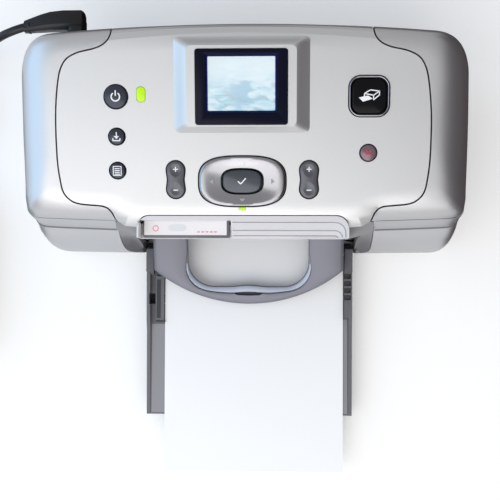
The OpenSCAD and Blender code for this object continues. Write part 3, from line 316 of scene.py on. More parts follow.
class Backlit:
    """The screen's lit picture: a plain test pattern of pale drifting shapes round one blue spot."""

    dark = (0.01, 0.10, 0.16, 1)
    mid = (0.13, 0.62, 0.78, 1)
    pale = (0.86, 0.97, 1.0, 1)
    sky = (0.9, 0.97, 1.0, 1)
    spot = (0.0, 0.32, 0.58, 1)
    sky_rows = (0.08, 0.094)
    spot_place = (0.008, 0.0905, 0.0)
    spot_edge = (0.0062, 0.0042)
    wave = 0.016
    glow = 0.86

    @classmethod
    def material(cls) -> Material:
        """Builds the lit picture's material from noise, a pale upper part and the spot.

        Returns:
            The Blender material.
        """
        made, tree, shader = new_material("lit_picture")
        place = add_node(tree, "ShaderNodeTexCoord").outputs["Object"]
        stretch = add_node(tree, "ShaderNodeMapping",
                           {"Scale": (1.0, 2.4, 1.0), "Rotation": (0.0, 0.0, 0.35), "Vector": place})
        noise = add_node(tree, "ShaderNodeTexNoise", {
            "Scale": 150.0, "Detail": 5.0, "Distortion": 1.1, "Vector": stretch.outputs["Vector"]})
        tones = add_node(tree, "ShaderNodeValToRGB", {"Fac": noise.outputs["Fac"]})
        ends = tones.color_ramp.elements
        ends[0].position, ends[0].color = 0.34, cls.dark
        ends[1].position, ends[1].color = 0.66, cls.pale
        ends.new(0.48).color = cls.mid
        split = add_node(tree, "ShaderNodeSeparateXYZ", {"Vector": place})
        upper = add_node(tree, "ShaderNodeMapRange", {
            "From Min": cls.sky_rows[0], "From Max": cls.sky_rows[1], "To Max": 0.85,
            "Value": split.outputs["Y"]})
        sky = add_node(tree, "ShaderNodeMix", {
            "Factor": upper.outputs["Result"], "A": tones.outputs["Color"], "B": cls.sky}, data_type="RGBA")
        flat = add_node(tree, "ShaderNodeVectorMath", {0: place, 1: (1.0, 1.0, 0.0)}, operation="MULTIPLY")
        wavy = add_node(tree, "ShaderNodeVectorMath", {
            0: noise.outputs["Color"], 1: (cls.wave, cls.wave, 0.0), 2: flat.outputs["Vector"]},
            operation="MULTIPLY_ADD")
        away = add_node(tree, "ShaderNodeVectorMath", {0: wavy.outputs["Vector"], 1: cls.spot_place},
                        operation="DISTANCE")
        near = add_node(tree, "ShaderNodeMapRange", {
            "From Min": cls.spot_edge[0], "From Max": cls.spot_edge[1], "To Max": 0.8,
            "Value": away.outputs["Value"]})
        picture = add_node(tree, "ShaderNodeMix", {
            "Factor": near.outputs["Result"], "A": sky.outputs["Result"], "B": cls.spot}, data_type="RGBA")
        dress_shader(tree, shader, {
            "Emission Color": picture.outputs["Result"], "Emission Strength": cls.glow,
            "Base Color": (0.02, 0.03, 0.04, 1), "Roughness": 0.4})
        return made


# ---- mesh tools ----


def at(x: float, y: float, z: float) -> Matrix:
    """A shift."""
    return Matrix.Translation((x, y, z))


def turned(degrees: float, axis: str) -> Matrix:
    """A turn about an axis."""
    return Matrix.Rotation(math.radians(degrees), 4, axis)


def link_new(name: str, data: ID) -> Object:
    """A new object of the scene with the given mesh, curve, lamp or camera."""
    piece = bpy.data.objects.new(name, data)
    bpy.context.scene.collection.objects.link(piece)
    return piece


def mesh_object(name: str, points: list, faces: list) -> Object:
    """Makes an object from points in millimetres and faces that index them.

    Args:
        name: the piece's name.
        points: its corners.
        faces: its faces, counter-clockwise from outside.

    Returns:
        The new object, linked to the scene.
    """
    mesh = bpy.data.meshes.new(name)
    mesh.from_pydata([tuple(p) for p in points], [], faces)
    mesh.update()
    return link_new(name, mesh)


def loft(name: str, rings: list, caps: bool = True) -> Object:
    """Skins a row of rings that have as many points each.

    Args:
        name: the piece's name.
        rings: lists of points, each turning the same way.
        caps: whether the first and last ring are filled.

    Returns:
        The new object.
    """
    n = len(rings[0])
    points = [p for ring in rings for p in ring]
    faces = []
    for k in range(len(rings) - 1):
        for i in range(n):
            j = (i + 1) % n
            faces.append((k * n + i, k * n + j, (k + 1) * n + j, (k + 1) * n + i))
    if caps:
        faces.append(tuple(reversed(range(n))))
        last = (len(rings) - 1) * n
        faces.append(tuple(range(last, last + n)))
    return mesh_object(name, points, faces)


def solid(name: str, rings: list, turn: Matrix = Matrix(), caps: bool = True) -> Object:
    """A loft, turned into place, whose faces all point outwards."""
    piece = loft(name, [[turn @ Vector(p) for p in ring] for ring in rings], caps)
    point_outwards(piece)
    return piece


def prism(name: str, outline: list, low: float, high: float, turn: Matrix = Matrix()) -> Object:
    """An outline drawn out straight from low to high, then turned into place."""
    return solid(name, [[(x, y, z) for x, y in outline] for z in (low, high)], turn)


def slab(name: str, x: tuple, y: tuple, z: tuple) -> Object:
    """A plain block between three pairs of limits, used to cut or to start from."""
    return prism(name, [(x[0], y[0]), (x[1], y[0]), (x[1], y[1]), (x[0], y[1])], z[0], z[1])


def round_rect(w: float, d: float, r: float, steps: int = 8, cx: float = 0, cy: float = 0) -> list:
    """The outline of a rectangle with round corners, counter-clockwise."""
    points = []
    for sx, sy, start in ((1, -1, -90), (1, 1, 0), (-1, 1, 90), (-1, -1, 180)):
        for k in range(steps + 1):
            a = math.radians(start + 90 * k / steps)
            points.append((cx + sx * (w / 2 - r) + r * math.cos(a),
                           cy + sy * (d / 2 - r) + r * math.sin(a)))
    return points


def circle(r: float, steps: int = 48, cx: float = 0, cy: float = 0) -> list:
    """The outline of a circle."""
    turn = 2 * math.pi / steps
    return [(cx + r * math.cos(turn * k), cy + r * math.sin(turn * k)) for k in range(steps)]


def domed(name: str, outline: list, low: float, high: float, roll: float, dome: float,
          turn: Matrix) -> Object:
    """A key or lens: an outline with a rolled edge and a domed top.

    Args:
        name: the piece's name.
        outline: its plan outline round (0, 0).
        low: its underside.
        high: the height of its edge roll's end.
        roll: the roll's radius.
        dome: how far the middle stands over the roll.
        turn: its place.

    Returns:
        The new object.
    """
    reach = max(math.hypot(x, y) for x, y in outline)
    rings = [[(x, y, low) for x, y in outline]]
    for k in range(5):
        a = math.radians(90 * k / 4)
        share = 1 - roll * (1 - math.cos(a)) / reach
        rings.append([(x * share, y * share, high - roll + roll * math.sin(a)) for x, y in outline])
    top = 1 - roll / reach
    for k in range(1, 7):
        share = 1 - k / 6.5
        lift = dome * (1 - share * share)
        rings.append([(x * top * share, y * top * share, high + lift) for x, y in outline])
    return solid(name, rings, turn)


def apply_modifiers(piece: Object) -> None:
    """Turns a piece and its modifiers into a plain mesh."""
    graph = bpy.context.evaluated_depsgraph_get()
    mesh = bpy.data.meshes.new_from_object(piece.evaluated_get(graph), depsgraph=graph)
    old = piece.data
    piece.modifiers.clear()
    piece.data = mesh
    bpy.data.meshes.remove(old)


def cut(piece: Object, tool: Object, how: Cut = Cut.AWAY) -> Object:
    """Cuts a piece with a tool, or joins them, and removes the tool."""
    step = piece.modifiers.new("cut", "BOOLEAN")
    step.operation = how.value
    step.solver = "EXACT"
    step.object = tool
    apply_modifiers(piece)
    bpy.data.objects.remove(tool)
    return piece


def soften(piece: Object, width: float, segments: int = 2, angle: float = 35) -> Object:
    """Rounds a piece's sharp edges by a small width."""
    step = piece.modifiers.new("soften", "BEVEL")
    step.width = width
    step.segments = segments
    step.limit_method = "ANGLE"
    step.angle_limit = math.radians(angle)
    apply_modifiers(piece)
    return piece


def point_outwards(piece: Object) -> None:
    """Merges doubles and turns every face of a closed piece outwards."""
    work = bmesh.new()
    work.from_mesh(piece.data)
    bmesh.ops.remove_doubles(work, verts=work.verts, dist=1e-5)
    bmesh.ops.recalc_face_normals(work, faces=work.faces)
    work.to_mesh(piece.data)
    work.free()


def merge(pieces: list, name: str) -> Object:
    """Joins pieces of one material into one object."""
    work = bmesh.new()
    for piece in pieces:
        work.from_mesh(piece.data)
    mesh = bpy.data.meshes.new(name)
    work.to_mesh(mesh)
    work.free()
    for piece in pieces:
        bpy.data.objects.remove(piece)
    return link_new(name, mesh)


def copy_of(piece: Object, name: str) -> Object:
    """A second object with a mesh of its own."""
    return link_new(name, piece.data.copy())


def even_shading(piece: Object) -> None:
    """Lets the large faces set the normals at their edges, so that flats stay flat."""
    step = piece.modifiers.new("even", "WEIGHTED_NORMAL")
    step.mode = "FACE_AREA"
    step.weight = 100
    step.keep_sharp = True
    apply_modifiers(piece)


def settle(piece: Object, body: str | None, finish: "Finish | type[Backlit]",
           replaced: tuple = (), placed: bool = False, even: bool = False,
           sharp: float = SHARP) -> Object:
    """Places a finished piece in the row frame, shades it and ties it to its body.

    Args:
        piece: the piece, in millimetres in the body's frame.
        body: the CAD body that it moves with, or None to tie it to no body.
        finish: its finish.
        replaced: the CAD nodes that it stands for.
        placed: whether it is in the row frame already.
        even: whether its large faces set the shading of their edges.
        sharp: the angle over which an edge stays sharp, in radians.

    Returns:
        The piece.
    """
    if not placed:
        piece.data.transform(TO_ROW)
    piece.data.materials.clear()
    piece.data.materials.append(finish.material())
    piece.data.shade_smooth()
    piece.data.set_sharp_from_angle(angle=sharp)
    if even:
        even_shading(piece)
    if body is not None:
        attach(piece, body)
    if replaced:
        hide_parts(*replaced)
    LOG.info("%s on %s: %d faces", piece.name, body or "two bodies", len(piece.data.polygons))
    return piece


def softened_node(node: str, width: float) -> Object:
    """A copy of a CAD node with its flat faces merged and its edges rounded, in the row frame.

    Args:
        node: the CAD node.
        width: how far its edges are rounded, in millimetres.

    Returns:
        The new object.
    """
    piece = copy_of(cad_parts[node], node + "_shell")
    work = bmesh.new()
    work.from_mesh(piece.data)
    bmesh.ops.remove_doubles(work, verts=work.verts, dist=1e-6)
    bmesh.ops.dissolve_limit(work, angle_limit=FLAT, verts=work.verts, edges=work.edges)
    work.to_mesh(piece.data)
    work.free()
    return soften(piece, width * MM, 2, 40)


def repeat_along(name: str, points: list, part: Object, finish: Finish) -> Object:
    """Geometry Nodes set one copy of a part at each point, and the result becomes a plain mesh.

    Args:
        name: the new piece's name.
        points: where the copies stand.
        part: the object to repeat, which is removed.
        finish: the finish that Set Material gives.

    Returns:
        The new object.
    """
    tree = bpy.data.node_groups.new(name + "_rule", "GeometryNodeTree")
    for label, kind in (("Geometry", "Geometry"), ("Part", "Object"), ("Finish", "Material")):
        tree.interface.new_socket(label, in_out="INPUT", socket_type="NodeSocket" + kind)
    tree.interface.new_socket("Geometry", in_out="OUTPUT", socket_type="NodeSocketGeometry")
    given = tree.nodes.new("NodeGroupInput").outputs
    info = add_node(tree, "GeometryNodeObjectInfo", {"Object": given["Part"]})
    place = add_node(tree, "GeometryNodeInstanceOnPoints",
                     {"Points": given["Geometry"], "Instance": info.outputs["Geometry"]})
    real = add_node(tree, "GeometryNodeRealizeInstances", {"Geometry": place.outputs["Instances"]})
    paint = add_node(tree, "GeometryNodeSetMaterial",
                     {"Geometry": real.outputs["Geometry"], "Material": given["Finish"]})
    add_node(tree, "NodeGroupOutput", {"Geometry": paint.outputs["Geometry"]})
    piece = mesh_object(name, points, [])
    rule = piece.modifiers.new("rule", "NODES")
    rule.node_group = tree
    values = {"Part": part, "Finish": finish.material()}
    for item in tree.interface.items_tree:
        if item.in_out == "INPUT" and item.name in values:
            rule[item.identifier] = values[item.name]
    apply_modifiers(piece)
    bpy.data.objects.remove(part)
    return piece


def smooth_line(points: list, steps: int) -> list:
    """Points on a smooth curve through the given ones, with some steps between each pair."""
    path = []
    n = len(points)
    for i in range(n - 1):
        a, b, c, d = points[max(i - 1, 0)], points[i], points[i + 1], points[min(i + 2, n - 1)]
        for k in range(steps):
            t = k / steps
            path.append(0.5 * (2 * b + (c - a) * t + (2 * a - 5 * b + 4 * c - d) * t * t
                               + (3 * b - a - 3 * c + d) * t ** 3))
    return path + [points[-1]]


def ease(t: np.ndarray | float) -> np.ndarray | float:
    """A share from 0 to 1 with a soft start and end."""
    return t * t * (3 - 2 * t)


def ramp(value: np.ndarray, start: float, length: float) -> np.ndarray:
    """How far a value has gone from a start along a length, held between 0 and 1."""
    return np.clip((value - start) / length, 0, 1)


def smooth_max(a: np.ndarray, b: np.ndarray, k: np.ndarray | float) -> np.ndarray:
    """The larger of two distances, with a blend of size k where they are close."""
    h = np.maximum(k - np.abs(a - b), 0) / k
    return np.maximum(a, b) + h * h * k / 4


# ---- the body's form ----


@dataclass
class BodyForm:
    """The printer's outer form as one smooth field, from which every shell is cut."""

    width: float = 220.0
    depth: float = 104.0
    front_height: float = 94.0
    rear_height: float = 111.0
    panel_front: float = 12.0
    wall: float = 2.2
    seam: float = 84.0
    seam_gap: float = 0.75
    # Height of the black strip of painted shade in the seam; the base stops this far under the seam.
    seam_shade_band: float = 1.3
    foot: float = 2.0
    side_bulge: float = 1.5
    front_bulge: float = 3.5
    rear_bulge: float = 4.7
    skirt_foot: float = 20.0
    crease: float = 66.0
    crease_y: float = 9.3
    crease_depth: float = 0.8
    crease_ledge: float = 1.0
    band_lean: float = 0.2
    corner: float = 7.5
    low_bulge: float = 0.9
    bulge_z: tuple = (58, 8)
    skirt_curve: float = 2.5
    toe: float = 4.0
    toe_curve: float = 2.2
    ledge_rise: float = 1.4
    notch: float = 5.0
    notch_x: tuple = (66, -9)
    notch_z: tuple = (81, 9)
    taper: float = 2.0
    taper_z: tuple = (30, -28)
    pull: float = 6.0
    side_blend: float = 21.0
    front_blend: float = 9.5
    rear_blend: float = 9.0
    rear_corner: float = 17.0
    foot_blend: float = 5.0
    ray_corner: float = 18.0
    ray_pitch: float = 7.0
    ray_reach: float = 90.0
    halvings: int = 34
    core: tuple = (0.78, 0.5)
    core_y: float = 54.0
    core_drop: float = 22.0
    crown_y: float = 58.0
    foot_steps: tuple = (0.03, 0.3, 0.9, 2.0, 4.0, 7.0)
    ring_heights: tuple = (14, 19, 24, 30, 36, 42, 48, 53, 58, 61.5, 63.6, 64.6, 65.1, 65.5, 65.9, 66.3,
                           66.8, 67.3, 67.8, 69.4)

    @property
    def gradient(self) -> float:
        """How much the panel rises for each millimetre to the rear."""
        return (self.rear_height - self.front_height) / (self.depth - self.panel_front)

    @property
    def slope(self) -> float:
        """The panel's slope, in radians."""
        return math.atan(self.gradient)

    def panel_z(self, y: float) -> float:
        """The panel's height at y."""
        return self.front_height + (y - self.panel_front) * self.gradient

    def on_panel(self, x: float, y: float) -> Matrix:
        """A frame on the panel at (x, y)."""
        return at(x, y, self.panel_z(y)) @ Matrix.Rotation(self.slope, 4, "X")

    def front_y(self, z: np.ndarray) -> np.ndarray:
        """Where the front surface lies at each height, on the centre line."""
        rise = ramp(z, self.skirt_foot, self.crease - 1 - self.skirt_foot)
        skirt = (self.crease_y + self.crease_depth) * rise ** self.skirt_curve
        toe = self.toe * ramp(z, self.skirt_foot, self.foot - self.skirt_foot) ** self.toe_curve
        ledge = self.crease_ledge * ramp(z, self.crease, self.ledge_rise)
        band = self.crease_y + ledge + self.band_lean * (z - self.crease)
        step = ease(np.clip((z - self.crease + 0.9) / 1.6, 0, 1))
        return (skirt + toe) * (1 - step) + band * step

    def field(self, p: np.ndarray) -> np.ndarray:
        """Signed distance to the body's surface, negative inside.

        Args:
            p: points as rows of x, y, z.

        Returns:
            One value for each point.
        """
        x, y, z = np.abs(p[:, 0]), p[:, 1], p[:, 2]
        u = 2 * y / self.depth - 1
        v = 2 * x / self.width
        side = x - self.side_bulge * v * (1 - u * u) - (self.width / 2 - self.side_bulge)
        bow = np.clip(1 - v * v, 0, 1)
        bulge = self.low_bulge + (self.front_bulge - self.low_bulge) * ramp(z, *self.bulge_z)
        front_line = (self.front_y(z) + bulge) / (1 + 2 * bulge / self.depth)
        front = front_line - (y - bulge * np.minimum(u, 0) * bow)
        front = front - self.notch * ease(ramp(x, *self.notch_x) * ramp(z, *self.notch_z))
        taper = self.taper * ramp(z, *self.taper_z)
        rear = y - self.rear_bulge * np.maximum(u, 0) * bow - (self.depth - self.taper) + taper
        walls = smooth_max(smooth_max(side, front, self.corner), rear, self.rear_corner)
        pull = [np.exp(np.clip(d / self.pull, -30, 8)) for d in (side, front, rear)]
        blends = (self.side_blend, self.front_blend, self.rear_blend)
        blend = sum(b * w for b, w in zip(blends, pull)) / sum(pull)
        top = (z - self.panel_z(y)) * math.cos(self.slope)
        whole = smooth_max(walls, top, blend)
        return smooth_max(whole, self.foot - z, self.foot_blend)

    def shell(self, name: str, inset: float) -> Object:
        """A closed smooth mesh of the surface that lies inset under the outer one.

        Args:
            name: the object's name.
            inset: how far inside the outer surface it lies.

        Returns:
            The new object.
        """
        outline = np.array(round_rect(self.width, self.depth, self.ray_corner, 14, 0, self.depth / 2))
        outline = self._fill_edges(outline, self.ray_pitch)
        (narrow, short), middle = self.core, self.depth / 2
        origin = np.column_stack([outline[:, 0] * narrow, self.core_y + (outline[:, 1] - middle) * short])
        way = outline - origin
        way /= np.linalg.norm(way, axis=1)[:, None]
        start_z = self.panel_z(origin[:, 1]) - self.core_drop
        low = self.foot + inset
        fixed = [low + d for d in self.foot_steps] + list(self.ring_heights)
        rings = []
        flat = np.column_stack([way, np.zeros(len(way))])
        heights = [np.full(len(way), float(z)) for z in fixed]
        heights += [fixed[-1] + (start_z - fixed[-1]) * share for share in (0.25, 0.5, 0.75, 1.0)]
        for height in heights:
            rings.append(self._cast(np.column_stack([origin, height]), flat, inset))
        source = np.column_stack([origin, start_z])
        for a in map(math.radians, (*range(3, 46, 3), *range(50, 91, 5))):
            lifted = np.column_stack([way * math.cos(a), np.full(len(way), math.sin(a))])
            rings.append(self._cast(source, lifted, inset))
        for share in (0.85, 0.6):
            inner = source.copy()
            inner[:, 0] *= share
            inner[:, 1] = self.crown_y + (inner[:, 1] - self.crown_y) * share
            rings.append(self._cast(inner, lifted, inset))
        piece = loft(name, [ring.tolist() for ring in rings])
        point_outwards(piece)
        return piece

    @staticmethod
    def _fill_edges(outline: np.ndarray, pitch: float) -> np.ndarray:
        """Adds points along the straight sides, about a pitch apart."""
        points = []
        for a, b in zip(outline, np.roll(outline, -1, axis=0)):
            parts = max(1, round(float(np.linalg.norm(b - a)) / pitch))
            points += [a + (b - a) * k / parts for k in range(parts)]
        kept = [points[0]]
        kept += [p for p, q in zip(points[1:], points) if np.linalg.norm(p - q) > 0.01]
        return np.array(kept)

    def _cast(self, start: np.ndarray, way: np.ndarray, inset: float) -> np.ndarray:
        """Where rays from inside the body meet the surface inset under the outer one."""
        near = np.zeros(len(start))
        far = np.full(len(start), self.ray_reach)
        for _ in range(self.halvings):
            middle = (near + far) / 2
            inside = self.field(start + way * middle[:, None]) < -inset
            near = np.where(inside, middle, near)
            far = np.where(inside, far, middle)
        return start + way * near[:, None]


FORM = BodyForm()


@dataclass
class FacePlate:
    """The outline of the face plate seen from above: waisted at the front and at the rear."""

    right: tuple = ((61.8, 160), (61.8, 125), (61.8, 106), (62.4, 100.2), (65.0, 96.7), (69.8, 94.4),
                    (77.4, 92.7), (82.9, 90.0), (85.9, 85.8), (87.6, 79.6), (88.9, 69.0), (89.4, 58.0),
                    (89.2, 43.0), (88.2, 33.5), (86.7, 27.2), (83.2, 23.4), (79.0, 21.9), (73.0, 21.3),
                    (67.2, 20.6), (64.2, 18.4), (62.6, 14.8), (61.6, 9.0), (61.4, 0.0), (61.4, -20.0))

    def outline(self, gap: float) -> list:
        """The plate's outline, widened by a gap.

        Args:
            gap: how far outside the plate the line lies.

        Returns:
            The closed outline, counter-clockwise.
        """
        line = smooth_line([Vector((x, y, 0)) for x, y in self.right], 4)
        moved = []
        for k, p in enumerate(line):
            way = line[min(k + 1, len(line) - 1)] - line[max(k - 1, 0)]
            side = Vector((-way.y, way.x, 0)).normalized()
            moved.append((p.x + side.x * gap, p.y + side.y * gap))
        moved.reverse()
        return moved + [(-x, y) for x, y in reversed(moved)]


ALONG = turned(90, "Y")


def layer(low: float, high: float, x: tuple = (-130, 130), y: tuple = (-20, 130)) -> Object:
    """A block between two heights, over the whole printer or a part of it."""
    return slab("layer", x, y, (low, high))


@dataclass
class Casing:
    """The silver shells: the base, the two end covers and the face plate with its raised pad."""

    hump_w: float = 51.8
    hump_side: float = 6.6
    hump_h: float = 4.4
    hump_front: float = 55.2
    hump_rear: float = 99.4
    hump_corner: float = 2.6
    hump_ends: tuple = (3.2, 4.2)
    key_gap: float = 0.5
    edge: float = 0.35
    jack: tuple = (-90.0, 58.0)
    jack_r: float = 6.3
    host: tuple = (-62.0, 32.0)
    host_size: tuple = (13, 11.5, 0.8)
    vents: tuple = (20.8, 69.0)
    vent: tuple = (1.8, 18, 0.85)
    vent_pitch: float = 4.0
    half_cut: float = 41.3
    plate_z: tuple = (61.3, 147.1)
    opening_y: tuple = (-6, 26)
    opening_top: float = 90.0
    opening: tuple = ((59.2, 4.5), (59.8, 19.0), (62.5, 22.5), (65.2, 31.0), (66.2, 40.0), (66.0, 57.0),
                      (65.6, 72.0), (64.2, 83.0), (64.0, 200.0))

    def wedge(self, gap: float) -> Object:
        """The opening in the front with its rounded lower corners, widened by a gap."""
        top, (front, back) = self.opening_top, self.opening_y
        line = [p for p in smooth_line([Vector((x, z, 0)) for x, z in self.opening], 4) if p.y < top]
        end = self.opening[-1][0] + gap
        outline = [(p.x + gap, p.y) for p in line] + [(end, top), (-end, top)]
        outline += [(-p.x - gap, p.y) for p in reversed(line)]
        return prism("wedge", outline, 0, back - front, at(0, back, 0) @ turned(90, "X"))

    def base(self) -> None:
        """The lower casing with its front opening, sockets and vents."""
        piece = FORM.shell("base_shell", 0.0)
        for tool in (layer(FORM.seam - FORM.seam_shade_band, 140), FORM.shell("inner", FORM.wall), self.wedge(0.0)):
            cut(piece, tool)
        x, z = self.vents
        holes = [circle(self.jack_r, 40, *self.jack), round_rect(*self.host_size, 4, *self.host)]
        holes += [round_rect(*self.vent, 5, x + self.vent_pitch * k, z) for k in range(-5, 6)]
        for hole in holes:
            cut(piece, prism("hole", hole, -110, -96, turned(90, "X")))
        soften(piece, self.edge, 2, 42)
        settle(piece, BODY, SILVER, ("base_case",), even=True)

    def band(self, name: str, low: float, high: float, inset: float, finish: Finish,
             rear: float = 130) -> None:
        """A thin dark strip of painted shade round the shell between two heights: in the seam, or along the
        crease.

        Args:
            name: the piece's name.
            low: its lower edge.
            high: its upper edge.
            inset: how far under the surface it lies.
            finish: its finish.
            rear: how far back it reaches.
        """
        piece = FORM.shell(name, inset)
        for tool in (layer(high, 140), layer(-5, low), FORM.shell("inner", inset + 0.8), self.wedge(0.3)):
            cut(piece, tool)
        if rear < 130:
            cut(piece, layer(-5, 140, y=(rear, 130)))
        settle(piece, BODY, finish)

    def covers(self) -> None:
        """The left and right end covers."""
        whole = FORM.shell("covers", 0.0)
        cut(whole, layer(-5, FORM.seam))
        cut(whole, FORM.shell("inner", FORM.wall))
        x = self.half_cut
        for name, away in (("left_end_cover", (-x, 130)), ("right_end_cover", (-130, x))):
            piece = copy_of(whole, name + "_shell")
            cut(piece, layer(-5, 150, away))
            cut(piece, prism("plate", FacePlate().outline(FORM.seam_gap / 2), *self.plate_z))
            soften(piece, self.edge, 2, 42)
            settle(piece, BODY, SILVER, (name,), even=True)
        bpy.data.objects.remove(whole)

    def hump(self, grow: float) -> Object:
        """The raised pad under the screen, with four soft sloping sides."""
        w = self.hump_w / 2 + grow
        y0, y1 = self.hump_front - grow, self.hump_rear + grow
        half = (y1 - y0) / 2 / math.cos(FORM.slope)
        rings = []
        for k in range(-1, 11):
            t = max(0, k) / 10
            rise = 0.6 * t + 0.4 * ease(t)
            z = -3.0 if k < 0 else (self.hump_h + grow + 0.15) * rise - 0.15
            out, front, rear = self.hump_side * (1 - t), self.hump_ends[0] * t, self.hump_ends[1] * t
            deep = 2 * half - front - rear
            outline = round_rect(2 * (w + out), deep, self.hump_corner, 9, 0, (front - rear) / 2)
            rings.append([(x, y, z) for x, y in outline])
        return solid("hump", rings, FORM.on_panel(0, (y0 + y1) / 2))

    def key_gap_shades(self) -> None:
        """A dark ring of painted shade that lies a little lower round every key, in the key's gap."""
        made = []
        for (x, y, outer), (_, _, inner) in zip(Keys().outlines(self.key_gap - 0.03), Keys().outlines(0.3)):
            turn = FORM.on_panel(x, y)
            made.append(cut(prism("collar", outer, -2.1, -0.35, turn), prism("inside", inner, -4, 4, turn)))
        settle(merge(made, "key_collars"), BODY, GAP_SHADE)

    def plate(self) -> None:
        """The face plate with the raised pad, the key holes and the notch over the lip."""
        piece = FORM.shell("top_panel_shell", 0.0)
        cut(piece, prism("plate", FacePlate().outline(-FORM.seam_gap / 2), FORM.seam, 150), Cut.KEEP)
        cut(piece, self.hump(0.0), Cut.JOIN)
        inner = FORM.shell("inner", FORM.wall)
        cut(inner, self.hump(-2.0), Cut.JOIN)
        cut(piece, inner)
        holes = Keys().outlines(self.key_gap) + [(*Keys.card_light, round_rect(*Keys.card_hole))]
        for x, y, outline in holes:
            cut(piece, prism("hole", outline, -9, 9, FORM.on_panel(x, y)))
        screen = round_rect(Screen.w + 0.2, Screen.d + 0.2, 1.5)
        cut(piece, prism("screen_hole", screen, -9, 14, FORM.on_panel(0, Screen.y)))
        cut(piece, prism("notch", Lip.recess_outline(0.4), 70, 130))
        soften(piece, 0.3, 2, 32)
        settle(piece, BODY, PLATE, ("top_panel",), even=True, sharp=math.radians(13))

    def build(self) -> None:
        """Builds every shell of the casing."""
        self.base()
        # A black strip of painted shade in the seam between the base and the covers above it.
        self.band("seam_gasket", FORM.seam - FORM.seam_shade_band - 0.1, FORM.seam - 0.02, 0.15, GAP_SHADE)
        # A dark grey strip along the crease: painted shade where the band meets the skirt.
        self.band("crease_line", FORM.crease + 0.15, FORM.crease + 1.25, -0.04, CREASE_SHADE, 26)
        self.covers()
        self.plate()
        self.key_gap_shades()


@dataclass
class Screen:
    """The screen in the raised pad: frame, window and lit picture."""

    w: float = 43.6
    d: float = 35.2
    picture_w: float = 33.2
    picture_d: float = 26.6
    shift: float = 1.5
    y: float = 76.4
    top: float = 4.9

    def opening(self, less: float, r: float) -> list:
        """The picture's outline, a little smaller all round."""
        return round_rect(self.picture_w - less, self.picture_d - less, r, 4, 0, self.shift)

    def build(self) -> None:
        """Builds the glossy frame, its blue rim, the clear window and the lit picture under it."""
        turn = FORM.on_panel(0, self.y)
        block = prism("lcd_frame_shell", round_rect(self.w, self.d, 1.4), 1.5, self.top, turn)
        soften(cut(block, prism("picture_hole", self.opening(0, 0.6), 0, 10, turn)), 0.45, 3)
        settle(block, BODY, SCREEN_BLACK, ("lcd_frame",))
        rim = prism("screen_rim", self.opening(0.1, 0.6), self.top - 1.7, self.top - 0.75, turn)
        cut(rim, prism("inside", self.opening(1.5, 0.4), 0, 10, turn))
        settle(rim, BODY, SCREEN_BLUE)
        picture = prism("picture", self.opening(1, 0.5), self.top - 2.4, self.top - 1.9, turn)
        settle(picture, BODY, Backlit, ("lcd_module",))
        window = prism("window", self.opening(1.6, 0.4), self.top - 1.6, self.top - 0.8, turn)
        settle(soften(window, 0.12, 1), BODY, SCREEN_GLASS, ("lcd_window",))


@dataclass
class Symbols:
    """Small plain symbols, drawn as thin raised plates over a key."""

    thickness: float = 0.1

    def bar(self, x: float, y: float, w: float, d: float, turn: Matrix, angle: float = 0) -> Object:
        """One bar with round ends, turned by an angle in degrees."""
        place = turn @ at(x, y, 0) @ turned(angle, "Z")
        return prism("bar", round_rect(w, d, min(w, d) / 2 - 0.01, 3), 0, self.thickness, place)

    def stroke(self, a: tuple, b: tuple, width: float, turn: Matrix) -> Object:
        """One bar from point to point."""
        dx, dy = b[0] - a[0], b[1] - a[1]
        length = math.hypot(dx, dy) + width
        angle = math.degrees(math.atan2(dy, dx))
        return self.bar((a[0] + b[0]) / 2, (a[1] + b[1]) / 2, length, width, turn, angle)

    def ring(self, r: float, t: float, start: float, end: float, turn: Matrix) -> Object:
        """An open ring between two angles in degrees."""
        steps = 28
        angles = [math.radians(start + (end - start) * k / steps) for k in range(steps + 1)]
        outline = [((r + t / 2) * math.cos(a), (r + t / 2) * math.sin(a)) for a in angles]
        outline += [((r - t / 2) * math.cos(a), (r - t / 2) * math.sin(a)) for a in reversed(angles)]
        return self.shape(outline, turn)

    def shape(self, outline: list, turn: Matrix) -> Object:
        """A plate of any outline."""
        return prism("shape", outline, 0, self.thickness, turn)


